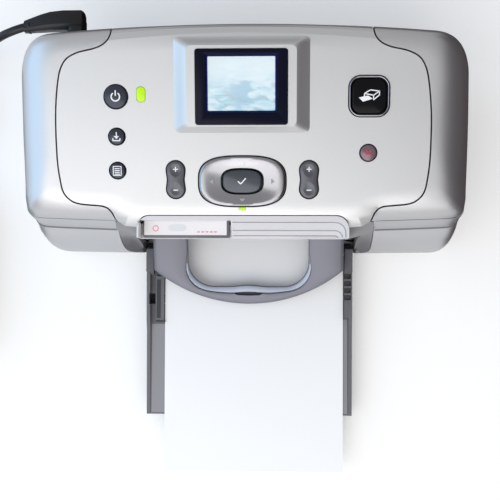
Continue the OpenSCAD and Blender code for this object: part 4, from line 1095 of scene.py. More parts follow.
@dataclass
class Keys:
    """Every key and lamp on the face plate, with plain symbols."""

    column: float = 60.0
    power_y: float = 72.2
    save_y: float = 53.7
    menu_y: float = 37.7
    cancel_y: float = 45.9
    power_r: float = 5.55
    small_r: float = 3.85
    print_y: float = 72.0
    print_w: float = 16.6
    ring_w: float = 18.8
    ring_r: float = 5.3
    rocker_x: float = 32.0
    rocker_y: float = 33.4
    rocker_r: float = 4.4
    rocker_reach: float = 4.6
    waist: float = 0.55
    pad_y: float = 32.6
    pad_half: tuple = (20.9, 12.05)
    pad_hole: tuple = (10.0, 6.2)
    ok_half: tuple = (9.3, 5.5)
    pad_square: float = 2.9
    power_light: tuple = (-48, 73.2)
    power_lens: tuple = (4.3, 7.3, 2.1)
    card_light: tuple = (0, 19.6)
    card_lens: tuple = (3.4, 1.4, 0.5)
    card_hole: tuple = (3.6, 1.6, 0.6)
    dish_r: float = 8.1
    dish_y: float = 4.9
    dish_z: float = 8.4
    round_top: float = 1.22
    rocker_top: float = 0.42
    pad_top: float = 0.62
    ok_top: float = 1.56
    print_top: float = 1.58
    pad_section: tuple = ((0.0, -2.6), (0.0, 0.0), (0.02, 0.5), (0.07, 0.95), (0.16, 1.15), (0.4, 0.85),
                          (0.65, 0.35), (0.85, 0.05), (0.96, -0.1), (1.0, -0.5), (1.0, -2.6))

    def outlines(self, gap: float) -> list:
        """Each key's place with its outline widened by a gap."""
        ring = self.ring_w + 2 * gap
        w, d, r = self.power_lens
        rows = [(-self.column, self.power_y, circle(self.power_r + gap))]
        for side, y in ((-1, self.save_y), (-1, self.menu_y), (1, self.cancel_y)):
            rows.append((side * self.column, y, circle(self.small_r + gap)))
        rows += [(x, self.rocker_y, self.rocker_outline(gap)) for x in (-self.rocker_x, self.rocker_x)]
        return rows + [(0, self.pad_y, self.pad_outline(gap)),
                       (self.column, self.print_y, round_rect(ring, ring, self.ring_r + gap)),
                       (*self.power_light, round_rect(w + gap / 2, d + gap / 2, r))]

    def rocker_outline(self, gap: float) -> list:
        """Two round ends joined by a slightly narrower waist."""
        r, points = self.rocker_r + gap, []
        for start, sign in ((-8, 1), (172, -1)):
            for k in range(17):
                a = math.radians(start + 196 * k / 16)
                points.append((r * math.cos(a), sign * self.rocker_reach + r * math.sin(a)))
            points.append((-sign * (r - self.waist), 0.0))
        return points

    def pad_outline(self, gap: float) -> list:
        """The arrow pad's outline: a wide oval with flattened sides."""
        a, b = self.pad_half[0] + gap, self.pad_half[1] + gap
        points = []
        for k in range(72):
            t = 2 * math.pi * k / 72
            c, s = math.cos(t), math.sin(t)
            x = a * math.copysign(abs(c) ** (2 / self.pad_square), c)
            y = b * math.copysign(abs(s) ** (2 / self.pad_square), s)
            points.append((x, y))
        return points

    def round_key(self, name: str, y: float, r: float, finish: Finish, side: int = -1) -> Matrix:
        """One round key with a shallow dome, and returns the frame on its top."""
        turn = FORM.on_panel(side * self.column, y)
        piece = domed(name + "_button_cap", circle(r, 56), -4.0, 0.9, 0.8, 0.35, turn)
        settle(piece, name + "_key", finish, (name + "_button",))
        return turn @ at(0, 0, self.round_top)

    @staticmethod
    def mark(name: str, parts: list, body: str, slot: str, finish: Finish) -> None:
        """Joins a symbol's plates and ties them to a key."""
        settle(merge(parts, name), body, finish)

    def round_keys(self) -> None:
        """The power, save, menu and cancel keys."""
        s = Symbols()
        top = self.round_key("power", self.power_y, self.power_r, KEY_DARK)
        sign = [s.ring(2.0, 0.62, 125, 415, top), s.bar(0, 1.7, 0.62, 2.7, top)]
        self.mark("power_symbol", sign, "power_key", "key_dark", INK_WHITE)
        top = self.round_key("save", self.save_y, self.small_r, KEY_DARK)
        arrow = s.shape([(-1.3, 0.3), (0, -1.1), (1.3, 0.3)], top)
        bars = ((0, 1.1, 0.5, 2.2), (0, -1.9, 3.4, 0.5), (-1.7, -1.4, 0.5, 1.4), (1.7, -1.4, 0.5, 1.4))
        parts = [arrow] + [s.bar(*b, top) for b in bars]
        self.mark("save_symbol", parts, "save_key", "key_dark", INK_WHITE)
        top = self.round_key("menu", self.menu_y, self.small_r, KEY_DARK)
        bars = [(0, y, 2.6, 0.42) for y in (1.1, 0.2, -0.7, -1.6)]
        bars += [(-1.9, 0, 0.4, 4.4), (1.9, 0, 0.4, 4.4), (0, 2.1, 4.2, 0.4), (0, -2.2, 4.2, 0.4)]
        self.mark("menu_symbol", [s.bar(*b, top) for b in bars], "menu_key", "key_dark", INK_WHITE)
        top = self.round_key("cancel", self.cancel_y, self.small_r, PLUM, 1)
        cross = [s.bar(0, 0, 0.55, 3.4, top, angle) for angle in (45, -45)]
        self.mark("cancel_symbol", cross, "cancel_key", "cancel_plum", INK_RED)

    def rockers(self) -> None:
        """The two rockers, each with a dished round at both ends."""
        s = Symbols()
        for name, x in (("zoom", -self.rocker_x), ("copies", self.rocker_x)):
            turn = FORM.on_panel(x, self.rocker_y)
            piece = domed(name + "_rocker_cap", self.rocker_outline(0), -3.6, 0.6, 0.7, 0.45, turn)
            for side in (-1, 1):
                cut(piece, self._ball(self.dish_r, turn @ at(0, side * self.dish_y, self.dish_z)))
            settle(piece, name + "_key", KEY_GREY, (name + "_rocker",))
            top = turn @ at(0, 0, self.rocker_top)
            marks = [s.bar(*b, top) for b in ((0, 5.0, 2.4, 0.5), (0, 5.0, 0.5, 2.4), (0, -5.0, 2.4, 0.5))]
            self.mark(name + "_rocker_symbols", marks, name + "_key", "key_grey", INK_WHITE)

    @staticmethod
    def _ball(r: float, place: Matrix) -> Object:
        """A ball used to dish a key."""
        rings = []
        for k in range(1, 16):
            a = math.pi * k / 16 - math.pi / 2
            rings.append([(x, y, r * math.sin(a)) for x, y in circle(r * math.cos(a), 40)])
        return solid("ball", rings, place)

    def pad(self) -> None:
        """The arrow pad, a dished oval ring, and the OK key in its middle."""
        turn = FORM.on_panel(0, self.pad_y)
        outer = self.pad_outline(0)
        (a, b), (hole_a, hole_b), (ok_a, ok_b) = self.pad_half, self.pad_hole, self.ok_half
        inner = [(x * hole_a / a, y * hole_b / b) for x, y in outer]
        rings = []
        for share, z in self.pad_section:
            rings.append([(p[0] + (q[0] - p[0]) * share, p[1] + (q[1] - p[1]) * share, z)
                          for p, q in zip(outer, inner)])
        piece = solid("nav_pad_cap", rings + rings[:1], turn, caps=False)
        settle(piece, "arrow_key", PAD_GREY, ("nav_pad",))
        s = Symbols()
        top = turn @ at(0, 0, self.pad_top)
        page = [(-1.5, -0.9), (1.5, -0.9), (1.5, 0.0), (0, 1.5), (-1.5, 0.0)]
        sheet = s.shape(page, top @ at(0, 9.0, 0))
        self.mark("up_symbol", [sheet], "arrow_key", "pad_grey", INK_WHITE)
        arrows = [s.shape([(-1.3, -0.7), (1.3, -0.7), (0, 1.0)], top @ at(x, y, 0) @ turned(angle, "Z"))
                  for x, y, angle in ((14.6, 0, -90), (-14.6, 0, 90), (0, -9.0, 180))]
        self.mark("arrow_symbols", arrows, "arrow_key", "pad_grey", INK_GREY)
        oval = [(x * ok_a / a, y * ok_b / b) for x, y in outer]
        ok_key = domed("ok_button_cap", oval, -4.0, 1.2, 0.7, 0.4, turn)
        settle(ok_key, "ok_key", OK_GREY, ("ok_button",))
        top = turn @ at(0, 0, self.ok_top)
        tick = [s.bar(-1.3, -0.5, 0.55, 2.0, top, 45), s.bar(0.65, 0.3, 0.55, 3.6, top, -42)]
        self.mark("ok_symbol", tick, "ok_key", "key_grey", INK_WHITE)

    def print_key(self) -> None:
        """The big black key in its bright ring, with a plain box and sheet."""
        turn = FORM.on_panel(self.column, self.print_y)
        w = self.print_w
        outline = round_rect(self.ring_w, self.ring_w, self.ring_r, 10)
        ring = prism("print_ring_shell", outline, -2.2, 1.3, turn)
        cut(ring, prism("hole", round_rect(w + 0.7, w + 0.7, 4.6, 10), -5, 5, turn))
        settle(soften(ring, 0.5, 3), BODY, CHROME, ("print_ring",))
        cap = domed("print_button_cap", round_rect(w, w, 4.3, 10), -3.2, 1.1, 1.0, 0.5, turn)
        settle(cap, "print_key", KEY_BLACK, ("print_button",))
        s = Symbols()
        top = turn @ at(0, 0, self.print_top)
        box = ((-2.4, 1.2), (0.4, 2.9), (4.6, 2.3), (1.9, 0.4), (-2.4, 1.2), (-2.4, -0.2))
        side = ((1.9, 0.4), (1.9, -1.7), (4.6, 0.5), (4.6, 2.3))
        parts = [s.stroke(a, b, 0.5, top) for line in (box, side) for a, b in zip(line, line[1:])]
        parts.append(s.shape([(-5.0, -0.6), (-3.0, -2.6), (1.5, -1.2), (-0.7, 0.3)], top))
        self.mark("print_symbol", parts, "print_key", "key_black", INK_WHITE)

    def lamps(self) -> None:
        """The long power light and the small card light."""
        rows = (("power_light", round_rect(*self.power_lens), 0.35, 0.4, 0.4, self.power_light),
                ("card_light", round_rect(*self.card_lens), 0.2, 0.2, 0.1, self.card_light))
        for name, outline, high, roll, dome, place in rows:
            lens = domed(name + "_lens", outline, -4, high, roll, dome, FORM.on_panel(*place))
            settle(lens, BODY, LAMP_GREEN, (name,))

    def build(self) -> None:
        """Builds every key and lamp."""
        self.round_keys()
        self.rockers()
        self.pad()
        self.print_key()
        self.lamps()


@dataclass
class Lip:
    """The stepped lip at the front edge with the card slots, and the card that stands in it."""

    half: float = 51.5
    top_y: float = 16.3
    corner: float = 6.5
    low: float = 77.0
    steps: tuple = ((13.6, 4.5, 1.2), (9.8, 8.0, 2.6), (7.4, 11.5, 4.0))
    bay_y: float = 14.3
    low_slot: tuple = ((1, 23), (0, 30), (80.6, 82.8))
    high_slot: tuple = ((25.5, 47.5), (0, 30), (84, 86.2))
    card_x: tuple = (-49.6, -6.8)
    card_y: tuple = (6.0, 42.4)
    card_z: tuple = (82.0, 85.3)

    @staticmethod
    def terrace(half: float, rear: float, corner: float) -> list:
        """A strip open to the front whose two rear corners are round."""
        points = [(-half, -4.0), (half, -4.0)]
        for cx, start in ((half - corner, 0), (corner - half, 90)):
            for k in range(9):
                a = math.radians(start + 90 * k / 8)
                points.append((cx + corner * math.cos(a), rear - corner + corner * math.sin(a)))
        return points

    @classmethod
    def recess_outline(cls, gap: float) -> list:
        """The notch in the face plate above the lip."""
        return cls.terrace(cls.half + gap, cls.top_y + gap, cls.corner)

    def block(self) -> Object:
        """The lip's block with its nested steps."""
        top = FORM.panel_z(self.top_y)
        outline = self.terrace(self.half, self.top_y, self.corner)
        piece = prism("card_slot_panel_shell", outline, self.low, top - 1)
        cut(piece, slab("front", (-60, 60), (-10, 5.7), (70, 100)))
        for rear, drop, inset in self.steps:
            tool = self.terrace(self.half - inset, rear, max(1.5, self.corner - inset))
            cut(piece, prism("step", tool, top - drop, 110))
        return piece

    def build(self) -> None:
        """Builds the lip with its bay and slots, and the card with a plain label."""
        piece = self.block()
        (x0, x1), (z0, z1) = self.card_x, self.card_z
        for box in (((x0 - 1.0, x1 + 1.0), (-4, self.bay_y), (z0 - 0.3, 120)),
                    ((x0 - 0.3, x1 + 0.3), (5, 20), (z0 - 0.3, z1 + 0.3)), self.low_slot, self.high_slot):
            cut(piece, slab("way", *box))
        soften(piece, 0.45, 3)
        settle(piece, BODY, LIP_GREY, ("card_slot_panel",), even=True)
        self.step_shades()
        self.card()

    def step_shades(self) -> None:
        """A thin dark line of painted shade at the foot of each step."""
        made = []
        top = FORM.panel_z(self.top_y)
        for rear, drop, inset in self.steps:
            outer = self.terrace(self.half - inset - 0.05, rear - 0.05, max(1.5, self.corner - inset))
            inner = self.terrace(self.half - inset - 0.5, rear - 0.5, max(1.2, self.corner - inset - 0.4))
            z = top - drop
            line = prism("line", outer, z - 0.05, z + 0.06)
            cut(line, prism("inside", [(x, y - 3 if y < 0 else y) for x, y in inner], z - 2, z + 2))
            cut(line, slab("front", (-60, 60), (-10, 6.2), (70, 100)))
            x0, x1 = self.card_x
            cut(line, slab("bay", (x0 - 1.6, x1 + 1.6), (-4, 15.5), (70, 120)))
            made.append(line)
        settle(merge(made, "lip_lines"), BODY, LIP_STEP_SHADE)

    def card(self) -> None:
        """The memory card: a dark shell, a pale label and a few plain printed marks."""
        (x0, x1), (y0, y1), (z0, z1) = self.card_x, self.card_y, self.card_z
        shell = soften(slab("memory_card_shell", (x0, x1), (y0, y1), (z0, z1 - 0.12)), 0.35, 2)
        settle(shell, "card", CARD_SHELL, ("memory_card",))
        label = slab("card_label", (x0 + 0.5, x1 - 1.4), (y0 + 1.3, y1 - 4), (z1 - 0.14, z1 - 0.04))
        settle(label, "card", CARD_LABEL)
        s = Symbols(0.05)
        flat = at(0, 0, z1 - 0.05)
        marks = [s.ring(1.3, 0.5, 0, 359, flat @ at(x0 + 6.2, 10.6, 0))]
        marks += [s.bar(x0 + 27.5 + 2.1 * k, 8.9, 1.5, 0.7, flat) for k in range(5)]
        settle(merge(marks, "card_pink_marks"), "card", LABEL_PINK)
        mist = s.bar(x0 + 17.0, 10.9, 9.0, 3.4, flat)
        mist.name = "card_grey_mark"
        settle(mist, "card", LABEL_MIST)


@dataclass
class Throat:
    """The hollow grey cheeks on both sides of the paper throat, with the pins for tray and arch."""

    rows: tuple = (((51.4, 13.0, 89.0), (63.8, 13.9, 83.2)), ((51.4, 6.0, 81.4), (65.1, 11.6, 74.0)),
                   ((54.0, 6.6, 74.0), (65.4, 9.2, 64.0)), ((59.3, 8.0, 60.0), (65.7, 5.4, 54.0)),
                   ((59.4, 7.6, 44.0), (65.9, 1.9, 40.0)), ((59.4, 6.0, 32.0), (65.0, 0.9, 31.0)),
                   ((59.4, 3.4, 22.0), (62.3, 0.8, 22.5)), ((59.3, 1.4, 10.0), (59.7, 0.9, 10.0)))
    hollow: float = 1.6
    pin_r: float = 1.8
    pins: tuple = (((57.8, 2.5, 8.5), 2.6), ((55.9, 14, 31), 4.5))
    blocks: tuple = (((50.2, 60.4), (19.2, 21.2), (40, 77)), ((50.2, 53.2), (15.0, 19.3), (40, 47)))

    def cheek(self, side: int) -> Object:
        """One cheek: a hollow skin between the lip's end and the edge of the case, 5 mm deep."""
        inner = smooth_line([Vector(a) for a, _ in self.rows], 4)
        outer = smooth_line([Vector(b) for _, b in self.rows], 4)
        rings = []
        for a, b in zip(inner, outer):
            front = []
            for k in range(9):
                t = k / 8
                hollow = self.hollow * (1 - (2 * t - 1) ** 2) * min(1.0, (b - a).length / 8)
                p = a + (b - a) * t
                front.append(Vector((side * p.x, p.y + hollow * 0.8, p.z - hollow * 0.5)))
            back = [p + Vector((0, 5.0, -1.0)) for p in reversed(front)]
            rings.append(front + back)
        return solid("cheek", rings)

    def build(self) -> None:
        """Builds the two cheeks, the pins and the jambs of the cartridge door."""
        extras = [self.cheek(1), self.cheek(-1)]
        for side in (-1, 1):
            for (x, y, z), half in self.pins:
                extras.append(prism("pin", circle(self.pin_r, 32), -half, half, at(side * x, y, z) @ ALONG))
            for (x0, x1), y, z in self.blocks:
                extras.append(slab("jamb", tuple(sorted((side * x0, side * x1))), y, z))
        joined = merge(extras, "throat_bezel_shell")
        settle(joined, BODY, THROAT, ("throat_bezel",))


@dataclass
class Arch:
    """The arch-shaped output tray with its hand opening, its bevelled band and the latch slot."""

    y: float = 14.0
    z: float = 31.0
    tip_z: float = 17.5
    reach: float = 28.3
    half: float = 53.0
    inner: float = 33.5
    hand_r: float = 14.0
    edge_r: float = 80.0
    rim: float = 10.0
    thick: float = 2.4
    band: float = 3.2
    band_edge: float = 0.4
    thumb_half: float = 11.0
    thumb_rise: float = 0.9
    mouth: float = 6.5
    latch: tuple = ((-8.2, 0), (-6, -0.9), (0, -1.15), (6, -0.9), (8.2, 0), (6, 0.75), (0, 0.95),
                    (-6, 0.75))
    barrel_r: float = 2.8
    barrels: tuple = ((49.5, 1.5), (53.5, 2.5))

    @property
    def slope(self) -> float:
        """How steeply the arch falls to the front, in radians."""
        return math.atan((self.z - self.tip_z) / (self.y + self.reach))

    @property
    def length(self) -> float:
        """The arch's length down its slope."""
        return math.hypot(self.z - self.tip_z, self.y + self.reach)

    def paths(self) -> tuple[list, list]:
        """The hand opening's edge and the arch's outer edge, point by point from left to right."""
        deep = self.length - self.rim
        corner_s = self.length - self.edge_r + math.sqrt(self.edge_r ** 2 - self.half ** 2)
        inner, outer = [], []
        for k in range(9):
            t = k / 9
            inner.append((-self.inner, -3 - t * (deep - self.hand_r - 3)))
            outer.append((-self.half, -t * corner_s))
        edge_angle = math.asin(self.half / self.edge_r)
        for k in range(41):
            t = k / 40
            a = -edge_angle + 2 * edge_angle * t
            outer.append((self.edge_r * math.sin(a), self.edge_r - self.length - self.edge_r * math.cos(a)))
            inner.append(self._hand_point(t, deep))
        for i, o in reversed(list(zip(inner[:9], outer[:9]))):
            inner.append((-i[0], i[1]))
            outer.append((-o[0], o[1]))
        return inner, outer

    def _hand_point(self, t: float, deep: float) -> tuple[float, float]:
        """A point on the round bottom of the hand opening, with a slight rise in its middle."""
        quarter = math.pi / 2 * self.hand_r
        flat = 2 * (self.inner - self.hand_r)
        run = t * (2 * quarter + flat)
        c = flat / 2
        if run < quarter:
            a = run / self.hand_r
            return (-c - self.hand_r * math.cos(a), -deep + self.hand_r - self.hand_r * math.sin(a))
        if run > quarter + flat:
            a = (run - quarter - flat) / self.hand_r
            return (c + self.hand_r * math.sin(a), -deep + self.hand_r - self.hand_r * math.cos(a))
        x = -c + run - quarter
        half = self.thumb_half
        rise = self.thumb_rise * math.cos(math.pi * x / half / 2) ** 2 if abs(x) < half else 0.0
        return (x, -deep + rise)

    def band_at(self, k: int, count: int) -> float:
        """The pale band's width at one point of the path: thin at the sides, full round the bottom."""
        return self.band_edge + self.band * min(1.0, max(0, k - 6) / 11, max(0, count - 7 - k) / 11)

    def build(self) -> None:
        """Builds the arch as one skin round its section, with barrels at its root."""
        inner, outer = self.paths()
        turn = at(0, self.y, self.z) @ Matrix.Rotation(self.slope, 4, "X")
        h = self.thick / 2
        rings = []
        for k, (i, o) in enumerate(zip(inner, outer)):
            a, b = Vector((*i, 0)), Vector((*o, 0))
            way = (b - a).normalized()
            band = self.band_at(k, len(inner))
            near = ((0, -h), (0, -h + 0.5), (0.3, h - 0.9), (band * 0.5, h - 0.35), (band, h - 0.25),
                    (band + 0.25, h + 0.75), (band + 0.7, h + 0.95))
            far = ((2.2, h + 0.9), (0.9, h + 0.6), (0.2, h), (0, -h + 0.4), (0.3, -h))
            section = [(a + way * d, z) for d, z in near] + [(b - way * d, z) for d, z in far]
            rings.append([(p.x, p.y, z) for p, z in section])
        piece = solid("output_tray_shell", rings, turn)
        self.skin(inner, outer, turn)
        place = turn @ at(0, self.mouth - self.length, 0)
        cut(piece, prism("latch_slot", self.latch, h - 0.9, 8, place))
        # A black sheet on the floor of the latch pocket: painted shade in the pocket.
        recess = prism("latch_recess", self.latch, h - 0.95, h - 0.85, place)
        settle(recess, "arch", BLACK_AND_SLOT_SHADE)
        parts = [piece]
        for side in (-1, 1):
            for x, half in self.barrels:
                place = turn @ at(side * x, 0, 0) @ ALONG
                parts.append(soften(prism("barrel", circle(self.barrel_r, 40), -half, half, place), 0.3, 2))
        settle(merge(parts, "output_tray_shell"), "arch", ARCH_GREY, ("output_tray",))

    def skin(self, inner: list, outer: list, turn: Matrix) -> None:
        """The paler blue-grey strip between the hand opening and the ridge: a painted highlight for the
        sheen on the bevelled band.
        """
        h = self.thick / 2
        rings = []
        for k in range(9, len(inner) - 9):
            a = Vector((*inner[k], 0))
            way = (Vector((*outer[k], 0)) - a).normalized()
            band = self.band_at(k, len(inner))
            section = ((0.34, h - 0.86), (band * 0.5, h - 0.28), (band - 0.1, h - 0.18),
                       (band - 0.1, h - 0.5), (0.36, h - 1.0))
            rings.append([((a + way * d).x, (a + way * d).y, z) for d, z in section])
        settle(solid("arch_band", rings, turn), "arch", BAND_SHEEN)


@dataclass
class Trays:
    """The fold-down paper tray with its paler floor and grip, its width guide and the cartridge door."""

    half: float = 58.5
    wall: float = 2.6
    front: float = -91.0
    floor: float = 12.0
    notch: tuple = (48, -40.5, -37.5)
    grip: tuple = ((53.95, 57.75), (-1.35, 1.35), (13.9, 14.5))
    grip_y: float = -12.8
    grip_pitch: float = 4.0
    # Black marks for the guide's slot and the line at its end: painted shade.
    guide_shade_boxes: tuple = (((-52.9, -50.6), (-37, -15), (14.1, 14.28)),
                          ((-53.4, -47.8), (-39.2, -38.2), (14.1, 14.28)))
    slot_shade_floor: tuple = ((-57.6, -53.2), (-33, -16), (5.0, 5.3))

    def build(self) -> None:
        """Dresses the tray, guide and door with rounded edges, inlays and moulded finishes."""
        for node, body, slot, width, finish in (("input_tray", "tray", "tray_grey", 0.35, DARK_GREY),
                                                ("width_guide", "guide", "guide_grey", 0.3, DARK_GREY),
                                                ("cartridge_door", "door", "door_grey", 0.3, DOOR_GREY)):
            settle(softened_node(node, width), body, finish, (node,), True, True)
        x = self.half - self.wall
        z = (self.floor - 0.1, self.floor + 0.05)
        left, edge, rear = self.notch
        inlay = [slab("floor", (-x, x), (self.front, edge), z), slab("floor", (left, x), (edge, rear), z)]
        settle(merge(inlay, "tray_floor"), "tray", FLOOR_GREY)
        # Black marks on the guide and a black floor in the tray's slot: painted shade in the slots.
        marks = [slab("mark", *box) for box in self.guide_shade_boxes]
        settle(merge(marks, "guide_slot"), "guide", BLACK_AND_SLOT_SHADE)
        settle(slab("tray_slot_floor", *self.slot_shade_floor), "tray", BLACK_AND_SLOT_SHADE)
        points = [(0, self.grip_y - self.grip_pitch * k, 0) for k in range(4)]
        notches = repeat_along("tray_grip", points, slab("notch", *self.grip), RUBBER)
        settle(notches, "tray", RUBBER)


@dataclass
class PaperStack:
    """The loaded photo paper: a few flat sheets."""

    x: tuple = (-48.2, 53.4)
    y: tuple = (-123.6, 41.5)
    z: float = 12.1
    sheet_t: float = 0.18
    pitch: float = 0.2
    shifts: tuple = ((0.0, 0.0), (0.35, 0.5), (-0.2, 0.25), (0.1, 0.0))
    bend: tuple = (9, -6)
    rows: int = 90

    def build(self) -> None:
        """Builds the sheets, each a little out of line with the one below."""
        made = []
        for k, (dx, dy) in enumerate(self.shifts):
            low = self.z + k * self.pitch
            top = low + self.sheet_t
            x0, x1 = self.x[0] + max(0.0, dx), self.x[1] + min(0.0, dx)
            rings = []
            for j in range(self.rows + 1):
                y = self.y[0] + dy + (self.y[1] - self.y[0] - dy) * j / self.rows
                rings.append([(x0, y, low), (x1, y, low), (x1, y, top), (x0, y, top)])
            made.append(solid("sheet", rings))
        stack = merge(made, "photo_paper_stack")
        settle(stack, None, PAPER, ("photo_paper",))
        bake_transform(stack)


@dataclass
class Lead:
    """The low voltage lead: its right-angle plug, its route, its coil and the adapter."""

    d: float = 4.5
    jack_x: float = -90.0
    jack_z: float = 58.0
    plug_y: float = 122.0
    coil: tuple = (-190.0, 82.0)
    route: tuple = ((-118.05, 119.0, 58), (-120, 118.5, 58), (-124.5, 117.2, 57.5), (-131, 115.4, 55),
                    (-137, 114, 49.5), (-141.5, 113.2, 42), (-145, 112.8, 33.5), (-148.5, 112.6, 25),
                    (-153, 112.6, 16.5), (-159, 112.4, 9), (-167, 111.6, 4), (-176, 110.2, 2.5),
                    (-186, 107.3, 2.25))
    tail: tuple = ((-191, 51.6, 12.4), (-187, 49, 13.4), (-183.3, 45, 14.3), (-180.9, 40.6, 14.9),
                   (-180, 37, 15), (-180, 35.05, 15), (-180, 15, 15))
    coil_r: float = 20.5
    coil_cells: tuple = ((2, 0), (1, 0), (0, 0), (0, 1), (0, 2), (1, 2), (1, 1), (2, 1), (2, 2))
    coil_turn: tuple = (88.0, 260.0)
    per_turn: int = 24
    plug_sections: tuple = ((-85.9, 3.6, 0), (-86.3, 4.6, 0), (-87.4, 5.2, 0), (-97, 5.2, 0),
                            (-104, 4.9, -0.4), (-109, 4.4, -1.2), (-113, 3.8, -2.0), (-117.9, 3.1, -3.0))
    rib_r: float = 3.95
    rib_start: tuple = (-107.6, 0.9)
    rib_step: tuple = (1.9, 0.42)
    brick_gap: float = 96.0
    brick_parts: tuple = ((52, 92, 6, 0.0, 14.6, 1.0), (52, 92, 6, 15.0, 30.0, 1.6),
                          (50.8, 90.8, 5.4, 1.5, 28.5, 0.4))

    def centreline(self) -> list:
        """The lead's whole centreline: route, nine turns beside and on each other, and tail.

        Returns:
            Points in millimetres.
        """
        points = [Vector(p) for p in self.route]
        cells, (start, end) = self.coil_cells, self.coil_turn
        turns = len(cells)
        total = turns - 1 + (end - start) / 360
        count = int(total * self.per_turn)
        for k in range(count + 1):
            gone = total * k / count
            angle = math.radians(start + 360 * gone)
            index = min(int(gone), turns - 1)
            share = ease(max(0.0, (gone - index - 0.7) / 0.3))
            here, after = cells[index], cells[min(index + 1, turns - 1)]
            column, row = (a + (b - a) * share for a, b in zip(here, after))
            r = self.coil_r + self.d * column
            x, y = self.coil[0] + r * math.cos(angle), self.coil[1] + r * math.sin(angle)
            points.append(Vector((x, y, self.d * (0.5 + row))))
        return points + [Vector(p) for p in self.tail]

    def cord(self) -> Object:
        """The lead as one round curve along its centreline.

        Returns:
            The curve object.
        """
        data = bpy.data.curves.new("dc_lead", "CURVE")
        data.dimensions = "3D"
        data.bevel_depth = self.d / 2 * MM
        data.bevel_resolution = 4
        data.use_fill_caps = True
        line = data.splines.new("POLY")
        path = smooth_line(self.centreline(), 3)
        line.points.add(len(path) - 1)
        for point, p in zip(line.points, path):
            point.co = (*(TO_ROW @ p), 1.0)
        piece = link_new("dc_lead", data)
        data.materials.append(LEAD.material())
        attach(piece, BODY)
        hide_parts("dc_cord", "cord_coil")
        return piece

    def plug(self) -> Object:
        """The right-angle plug with its barrel and ribbed strain relief.

        Returns:
            The plug's object.
        """
        turn = at(0, self.plug_y, self.jack_z) @ turned(-90, "Y")
        rings = []
        for x, r, fall in self.plug_sections:
            rings.append([(p[0], p[1] + fall, -x) for p in round_rect(2 * r, 2 * r, r * 0.62, 6)])
        body = solid("plug_body", rings, turn)
        neck_turn = at(self.jack_x, 0, self.jack_z) @ turned(90, "X")
        neck = soften(prism("neck", round_rect(9.4, 9.4, 2.8, 6), -self.plug_y, -104.6, neck_turn), 0.6, 2)
        barrel = prism("barrel", circle(2.8, 32), -105, -95, neck_turn)
        joined = merge([body, neck, barrel, self._ribs()], "dc_plug_shell")
        return settle(joined, BODY, LEAD, ("dc_plug",))

    def _ribs(self) -> Object:
        """The strain relief's ribs, set along it by Geometry Nodes."""
        part = soften(prism("rib", circle(self.rib_r, 32), -0.55, 0.55, ALONG), 0.25, 2)
        (x, y), (dx, dy) = self.rib_start, self.rib_step
        points = [(x - dx * k, self.plug_y - y - dy * k, self.jack_z) for k in range(5)]
        return repeat_along("relief_ribs", points, part, LEAD)

    def adapter(self) -> Object:
        """The adapter: a rounded brick with a seam round its middle, feet and an inlet.

        Returns:
            The adapter's object.
        """
        cx, cy = self.coil[0], self.coil[1] - self.brick_gap
        parts = []
        for w, d, r, low, high, roll in self.brick_parts:
            part = soften(prism("part", round_rect(w, d, r, 8, cx, cy), low, high), roll, 3)
            parts.append(cut(part, slab("inlet", (cx - 8, cx + 8), (cy - 50, cy - 34), (8, 22))))
        x, _, z = self.tail[-1]
        parts.append(soften(prism("boss", circle(4, 32, x, z), -35, -31, turned(90, "X")), 0.6, 2))
        return settle(merge(parts, "power_adapter_shell"), BODY, BRICK, ("power_adapter",))

    def build(self) -> None:
        plug = self.plug()
        adapter = self.adapter()
        cord = self.cord()


class Works:
    """The nodes that keep their CAD shape and only get a finish."""

    finishes = {
        RUBBER: ("rubber_feet", "feed_roller", "pick_roller", "exit_roller", "drive_belt"),
        STEEL: ("case_screws", "usb_socket", "chassis", "guide_rod", "carriage_motor", "feed_motor",
                "pinch_rollers", "star_wheels"),
        BRASS: ("motor_pulley", "motor_pinion"),
        GEAR_WHITE: ("idler_pulley", "idler_gear", "pick_gear_idler", "encoder_strip"),
        BOARD_GREEN: ("keypad_board", "card_reader_board", "main_board"),
        BLACK_AND_SLOT_SHADE: ("card_sockets", "power_jack", "nav_cradle", "carriage", "ink_cartridge", "platen",
                       "service_station"),
    }

    @classmethod
    def build(cls) -> None:
        """Gives each of them its finish."""
        for finish, names in cls.finishes.items():
            for name in names:
                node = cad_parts[name]
                node.data.materials.clear()
                node.data.materials.append(finish.material())
                LOG.info("%s keeps its CAD shape", name)


